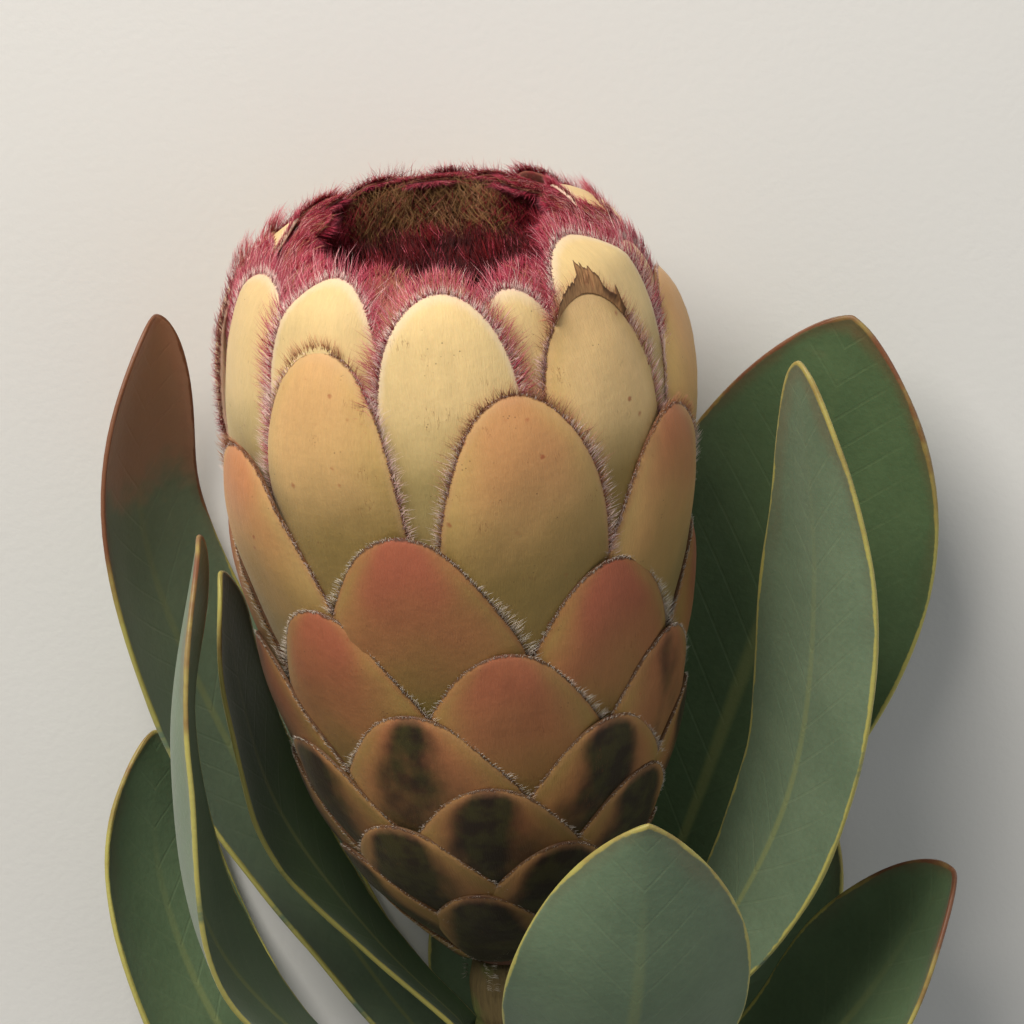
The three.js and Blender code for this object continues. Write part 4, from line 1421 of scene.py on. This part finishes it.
# %% The leaves' midribs and widths
LEAF_BASE_HALF = 4.2
LEAF_CLEARANCE = 1.1
LEAF_THICKNESS = 1.1
STEM_TOP_RADIUS = 6
WIDEST = 0.64
MIDRIB_STEPS = 60
LEAVES = {
    "leaf_right_back": dict(
        midrib=[(5, 3, -19), (19, 12, -3), (34, 18, 27), (45, 19, 52), (52, 17, 76)],
        half=20, face=(-0.35, -1, 0.1), cup=(0.12, 0.12), wave=0.8, point=0.72,
        green=0.85, blush=0.7,
    ),
    "leaf_right_front": dict(
        midrib=[(6, -2, -25), (22, -5, -6), (37.5, -9, 22), (43, -10, 52), (43, -8, 80)],
        half=11.5, face=(-1, -0.45, 0), cup=(0.1, -0.15), wave=0.7,
        green=0.15, blush=0.4,
    ),
    "leaf_right_low": dict(
        midrib=[(6, 1, -41), (21, 1, -33), (41, -2, -17), (58, -5, 7)],
        half=13, face=(-0.6, -0.5, 0.9), cup=(0.3, 0.3), wave=0.6,
        green=0.7, blush=0.7,
    ),
    "leaf_front": dict(
        midrib=[(1.5, -6, -30), (8, -19, -17), (14, -33, 4), (18.5, -38, 34)],
        half=15.5, face=(-0.1, 1, 0.3), cup=(0.25, 0.32), wave=0.8, point=0.85,
        green=0.3, blush=0.35,
    ),
    "leaf_left_front": dict(
        midrib=[(-5.5, -4, -22), (-22, -15, -8), (-37, -18, 14), (-38.5, -16, 40), (-32.5, -12, 67)],
        half=14, face=(1, -0.1, 0.2), cup=(0.25, 0.05), wave=0.8,
        green=0.35, blush=0.6,
    ),
    "leaf_left_inner": dict(
        midrib=[(-6, 1, -13), (-18, 5, 1), (-28.5, 7, 20), (-31.5, 5, 40), (-31, 2, 56)],
        half=9, face=(1, -0.3, 0.1), cup=(0.12, 0.12), wave=0.5,
        green=0.95, blush=0.3,
    ),
    "leaf_left_back": dict(
        midrib=[(-5, 5, -27), (-19, 12, -8), (-34, 17, 24), (-42, 18, 58), (-36.5, 20, 85)],
        half=12, face=(1, -0.8, 0), cup=(0.3, 0.2), wave=1,
        green=0.1, blush=1.7,
    ),
    "leaf_left_low": dict(
        midrib=[(-6, 0, -45), (-22, 1, -34), (-39, 6, -12), (-45.5, 13, 10), (-43.5, 16, 29)],
        half=11, face=(0.7, -0.8, 0.3), cup=(0.2, 0.2), wave=0.7,
        green=0.6, blush=0.4,
    ),
    "leaf_back_right": dict(
        midrib=[(2.5, 6, -33), (12, 12, -26), (29, 16, -12), (40, 20, 12)],
        half=12, face=(-0.2, -1, 0.2), cup=(0.06, 0.06), wave=0.5,
        green=0.7, blush=0.5,
    ),
    "leaf_back_middle": dict(
        midrib=[(0, 6.4, -38), (-1, 12, -30), (-2.5, 15, -16), (-4, 17, 5)],
        half=8.5, face=(0, -1, 0.2), cup=(0.06, 0.06), wave=0.4,
        green=0.6, blush=0.5,
    ),
}
print(len(LEAVES), "leaves")


# %% The leaf's surface
def smooth_midrib(leaf):
    """The leaf's midrib as evenly spaced places, and how far along it each of them is."""
    points = np.array(leaf["midrib"], float)
    steered = np.vstack([2 * points[0] - points[1], points, 2 * points[-1] - points[-2]])
    places = curve_through(steered, MIDRIB_STEPS, 0.5)
    return places, running_length(places)


def bent_clear(points):
    """Points of a leaf bent clear of the stem, the head and the table."""
    height = points[..., 2]
    head = radius_at(np.clip(height, 0, HEAD_HEIGHT)) * smooth((height + 6) / 8)
    bound = np.where(height < -6, STEM_TOP_RADIUS, np.maximum(STEM_TOP_RADIUS, head))
    radius = np.hypot(points[..., 0], points[..., 1])
    scale = keep_above(radius, bound + LEAF_CLEARANCE, 0.5) / radius
    clear = points * np.stack([scale, scale, np.ones_like(scale)], axis=-1)
    over = clear @ UP + LIFT
    push = keep_above(over, LEAF_THICKNESS / 2 + 0.05, 0.8) - over
    return clear + push[..., None] * UP


def leaf_width(leaf, along):
    """Half the leaf's width along its length, as a share of its greatest half width."""
    base_share = LEAF_BASE_HALF / leaf["half"]
    past = np.clip(1 - ((along - WIDEST) / (1 - WIDEST)) ** 2, 0, 1) ** leaf.get("point", 0.6)
    before = base_share + (1 - base_share) * smooth(along / WIDEST) ** 0.9
    return np.where(along > WIDEST, past, before)


def along_curve(at, arc, rows):
    """Rows of places or ways, read at lengths along their curve."""
    return np.stack([np.interp(at, arc, column) for column in rows.T], axis=-1)


def leaf_surface(leaf, along, across):
    """The leaf's middle surface: its places, and the way that its inner face looks."""
    places, arc = smooth_midrib(leaf)
    at = np.clip(along, 0, 1) * arc[-1]
    point = along_curve(at, arc, places)
    way = unit(along_curve(at, arc, np.gradient(places, arc, axis=0)))
    looks = unit(np.array(leaf["face"], float))
    foot_x, foot_y, _ = leaf["midrib"][0]
    stemwards = unit(np.array([-foot_x, -foot_y, 0.0]))
    share = smooth(along * 2.2)[..., None]
    inner = stemwards * (1 - share) + looks * share
    inner = unit(inner - way * np.sum(inner * way, axis=-1)[..., None])
    side = np.cross(way, inner)
    fullness = leaf_width(leaf, along)
    width = leaf["half"] * fullness
    cup = np.where(across < 0, leaf["cup"][0], leaf["cup"][1])
    ripple = leaf["wave"] * fullness * np.sin(along * 13 + across * 1.3) * across**2 * smooth(along * 3)
    rise = width * cup * across**2 + ripple
    blade = point + side * (width * across)[..., None] + inner * rise[..., None]
    return bent_clear(blade), inner


print("A leaf's surface is worked out from its midrib")

# %% [markdown]
# ## Leaf finish
#
# The skin is waxy, so it is smoother than a bract and a pale bloom lies on it. Side veins leave the
# midrib at a slant and fade towards the margin. The horny margin is yellow, red-brown round the
# tip, and a little glossy.

# %% The leaf material
leaf_skin, shader = start_material("leaf_skin")
place = attribute("grain", "Vector")
margin = attribute("margin")
along = attribute("along")
aside = maths("ABSOLUTE", attribute("across"))
mottle = noise(place, 0.09, 4.0)
fine = noise(place, 1.4, 3.0)
waxy = mix(mottle, srgb(88, 106, 82), srgb(122, 138, 110))
deep = mix(mottle, srgb(60, 82, 48), srgb(86, 108, 66))
skin = mix(1.0, mix(attribute("green"), waxy, deep), scaled(fine, 0.3, 0.85), "MULTIPLY")
rib = times(ease(aside, 0.075, 0.02), ease(along, 0.97, 0.35))
waves = maths("SINE", times(attribute("vein"), 1.15))
vein = times(ease(waves, 0.93, 0.998), ease(aside, 0.95, 0.35))
tipwards = times(ease(along, 0.62, 0.97), attribute("blush"))
brown = times(ease(plus(margin, scaled(mottle, 6.0, -3.0)), 2.6, 0.2), tipwards)
dried = ease(plus(tipwards, scaled(mottle, 1.2, -0.6)), 0.85, 1.25)
frayed = plus(margin, scaled(fine, 0.25, -0.125))
worn = times(ease(noise(place, 0.12, 3.0), 0.35, 0.65), 0.3)
rusty = plus(tipwards, plus(noise(place, 0.18, 3.0), -0.55))
horn = mix(ease(rusty, 0.1, 0.7), srgb(172, 164, 86), srgb(120, 76, 50))
fill(shader, {
    "Base Color": painted(skin, [
        (rib, 0.5, srgb(146, 150, 88)),
        (vein, 0.05, srgb(140, 152, 108)),
        (brown, 0.7, srgb(116, 80, 54)),
        (dried, 0.85, srgb(162, 120, 94)),
        (ease(plus(frayed, worn), 0.62, 0.42), 1.0, horn),
    ]),
    "Roughness": scaled(fine, 0.2, 0.36),
    "Normal": bump(plus(times(vein, -0.2), times(fine, 0.5)), 0.0002, 0.6),
    "Specular IOR Level": 0.4,
    "Subsurface Weight": 0.05,
    "Subsurface Scale": 0.001,
    "Sheen Weight": 0.08,
})
print("Leaf material", leaf_skin.name)

# %% Build the leaves
LEAF_COLUMNS = 72
LEAF_ROWS = 64
LEAF_TIP_ROWS = 26
HORN_RADIUS = 0.33
BLADE_HALF = 0.24
MIDRIB_RISE = 0.4


def leaf_margin(leaf, run, aside, length):
    """How far points are from the leaf's outline, by its nearest point of many."""
    tipwards = WIDEST + (1 - WIDEST) * np.sin(np.linspace(0, np.pi / 2, 160))
    shares = np.concatenate([np.linspace(0, WIDEST, 120), tipwards])
    half = leaf_width(leaf, shares) * leaf["half"]
    apart = np.hypot(shares * length - run[:, None], half - np.abs(aside)[:, None])
    return apart.min(axis=1)


def add_leaf(name, leaf):
    mesh = marked_mesh("along", "across", "margin", "vein", "green", "blush")
    corners, turn, way = wrapped_sheet(mesh, LEAF_COLUMNS, LEAF_ROWS)
    across = -np.cos(turn)
    outward = np.sin(turn)
    step = way * LEAF_ROWS
    tip = WIDEST + (1 - WIDEST) * np.cos(np.clip(step / LEAF_TIP_ROWS, 0, 1) * math.pi / 2)
    along = tip - WIDEST * np.clip((step - LEAF_TIP_ROWS) / (LEAF_ROWS - LEAF_TIP_ROWS), 0, 1)
    middle, inner = leaf_surface(leaf, along, across)

    def nearby(onward, sideways):
        place = np.clip(along + onward, 0, 1), np.clip(across + sideways, -1, 1)
        return leaf_surface(leaf, *place)[0]

    normal = unit(np.cross(nearby(0, 0.02) - nearby(0, -0.02), nearby(-0.01, 0) - nearby(0.01, 0)))
    normal *= np.sign(np.sum(normal * inner, axis=1))[:, None]
    fullness = leaf_width(leaf, along)
    narrow = smooth(fullness / 0.15)[:, None]
    normal = unit(normal * narrow + inner * (1 - narrow))
    length = smooth_midrib(leaf)[1][-1]
    width = across * fullness * leaf["half"]
    margin = leaf_margin(leaf, along * length, width, length)
    bead = np.sqrt(1 - (1 - np.clip(margin / HORN_RADIUS, 0, 1)) ** 2) * HORN_RADIUS
    thick = bead - (HORN_RADIUS - BLADE_HALF) * smooth((margin - HORN_RADIUS) / 0.7)
    thick += 0.2 * smooth((margin - 2) / 8)
    rib = np.exp(-((width / 0.8) ** 2)) * MIDRIB_RISE * smooth((1 - along) * 2.5)
    thick = np.where(outward >= 0, thick - 0.2 * rib, thick + rib)
    places = middle + normal * (np.sign(np.round(outward, 6)) * thick)[:, None]
    seed = np.full(len(width), sum(map(ord, name)))
    close_sheet(mesh, corners, places, {
        "along": along, "across": across, "margin": margin, "green": leaf["green"],
        "blush": leaf["blush"], "vein": along * length - np.abs(width) * 1.1,
        "grain": np.stack([width, along * length, seed], axis=1),
    })
    finish_piece(mesh, name.removeprefix("leaf_") + "_leaf", leaf_skin, "leaf", name)


for name, leaf in LEAVES.items():
    add_leaf(name, leaf)

# %% [markdown]
# ## Stem
#
# The stem is a woody shoot: greenish-brown bark with fine lengthwise ridges, a shallow groove where
# each leaf was joined, and a pale cut end with a pith. It is spun like the cores,
# then its surface is moved in and out by a formula.

# %% The bark material
bark, shader = start_material("stem_bark")
place = attribute("grain", "Vector")
cut = attribute("cut")
ridges = noise(stretched(place, (2.2, 0.22, 1.0)), 1.2, 5.0, 0.65)
brown = mix(ridges, srgb(78, 62, 38), srgb(146, 124, 78))
rings = ease(maths("SINE", times(cut, 9.0)), -1.0, 1.0)
wood = mix(rings, srgb(206, 186, 138), srgb(190, 166, 116))
fill(shader, {
    "Base Color": painted(brown, [
        (ease(noise(place, 0.12, 3.0), 0.45, 0.62), 1.0, srgb(112, 118, 62)),
        (ease(cut, 4.4, 4.2), 1.0, mix(ease(cut, 1.3, 1.0), wood, srgb(150, 120, 78))),
    ]),
    "Roughness": 0.75,
    "Normal": bump(ridges, 0.0006, 0.8),
})
print("Bark material", bark.name)

# %% Build the stem
STEM_SIDES = 72
STEM_ROWS = 120
STEM_TOP = -0.45
CUT_BEVEL = 0.3
LOWEST_SCAR = -58
SCARRED_LENGTH = 50
LEAF_SCARS = 6
SCAR_DEPTH = 0.5


def stem_radius(height):
    """The stem's radius, with a shallow groove below each place where a leaf was joined."""
    share = (height + STEM_LENGTH) / STEM_LENGTH
    radius = STEM_RADIUS + (STEM_TOP_RADIUS - STEM_RADIUS) * share
    for i in range(LEAF_SCARS):
        scar = LOWEST_SCAR + i * SCARRED_LENGTH / (LEAF_SCARS - 1)
        radius = radius - SCAR_DEPTH * np.exp(-(((height - scar + 1.6) / 0.9) ** 2))
    shoulder = 0.8 * smooth((height + 5) / 4.5)
    return radius - shoulder


def bark_scale(radius, angle, height):
    """How far the bark's furrows and swellings move a place in or out."""
    furrow = math.sin(17 * angle + 2.0 * math.sin(height * 0.11)) * 0.5 + math.sin(29 * angle) * 0.3
    swell = math.sin(2 * angle + height * 0.13) * 0.12
    return (radius + 0.09 * furrow - 0.12 + swell) / radius


heights = np.linspace(-STEM_LENGTH + CUT_BEVEL, STEM_TOP, STEM_ROWS)
side_wall = [(float(stem_radius(height)), float(height)) for height in heights]
cut_face = [(radius, -STEM_LENGTH) for radius in (0, 1.2, 2.4, 3.6, STEM_RADIUS - CUT_BEVEL)]
mesh = marked_mesh("cut")
profile = [*cut_face, *side_wall, (3, STEM_TOP), (0, STEM_TOP)]
verts = add_turned(mesh, profile, {"cut": 9.0}, STEM_SIDES)
cut_layer = mesh.verts.layers.float["cut"]
grain_layer = mesh.verts.layers.float_vector["grain"]
for vert in verts:
    radius = math.hypot(vert.co.x, vert.co.y)
    angle = math.atan2(vert.co.x, -vert.co.y)
    if vert.co.z < -STEM_LENGTH + 0.1:
        vert[cut_layer] = radius
        saw_mark = 0.25 * math.sin(1.3 * vert.co.x) * math.sin(0.9 * vert.co.y)
        vert.co.z += saw_mark * (1 - radius / STEM_RADIUS)
    elif radius > 3.5:
        scale = bark_scale(radius, angle, vert.co.z)
        vert.co.x *= scale
        vert.co.y *= scale
    vert[grain_layer] = (angle * STEM_RADIUS, vert.co.z, radius)
    over = float(np.array(vert.co) @ UP) + LIFT
    if over < 0:
        vert.co -= Vector(UP) * over
finish_piece(mesh, "woody_stem", bark, "stem", "stem")

# %% [markdown]
# ## Sizes and the end
#
# The box of the CAD model and the box of the finished flower are written side by side, so that any
# piece that grew too far is noticed at once.

# %% Write the sizes and finish
visual_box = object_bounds()
for label, (low, high) in (("CAD", cad_box), ("visual", visual_box)):
    print(label, [round(v * 1000, 1) for v in low], [round(v * 1000, 1) for v in high])
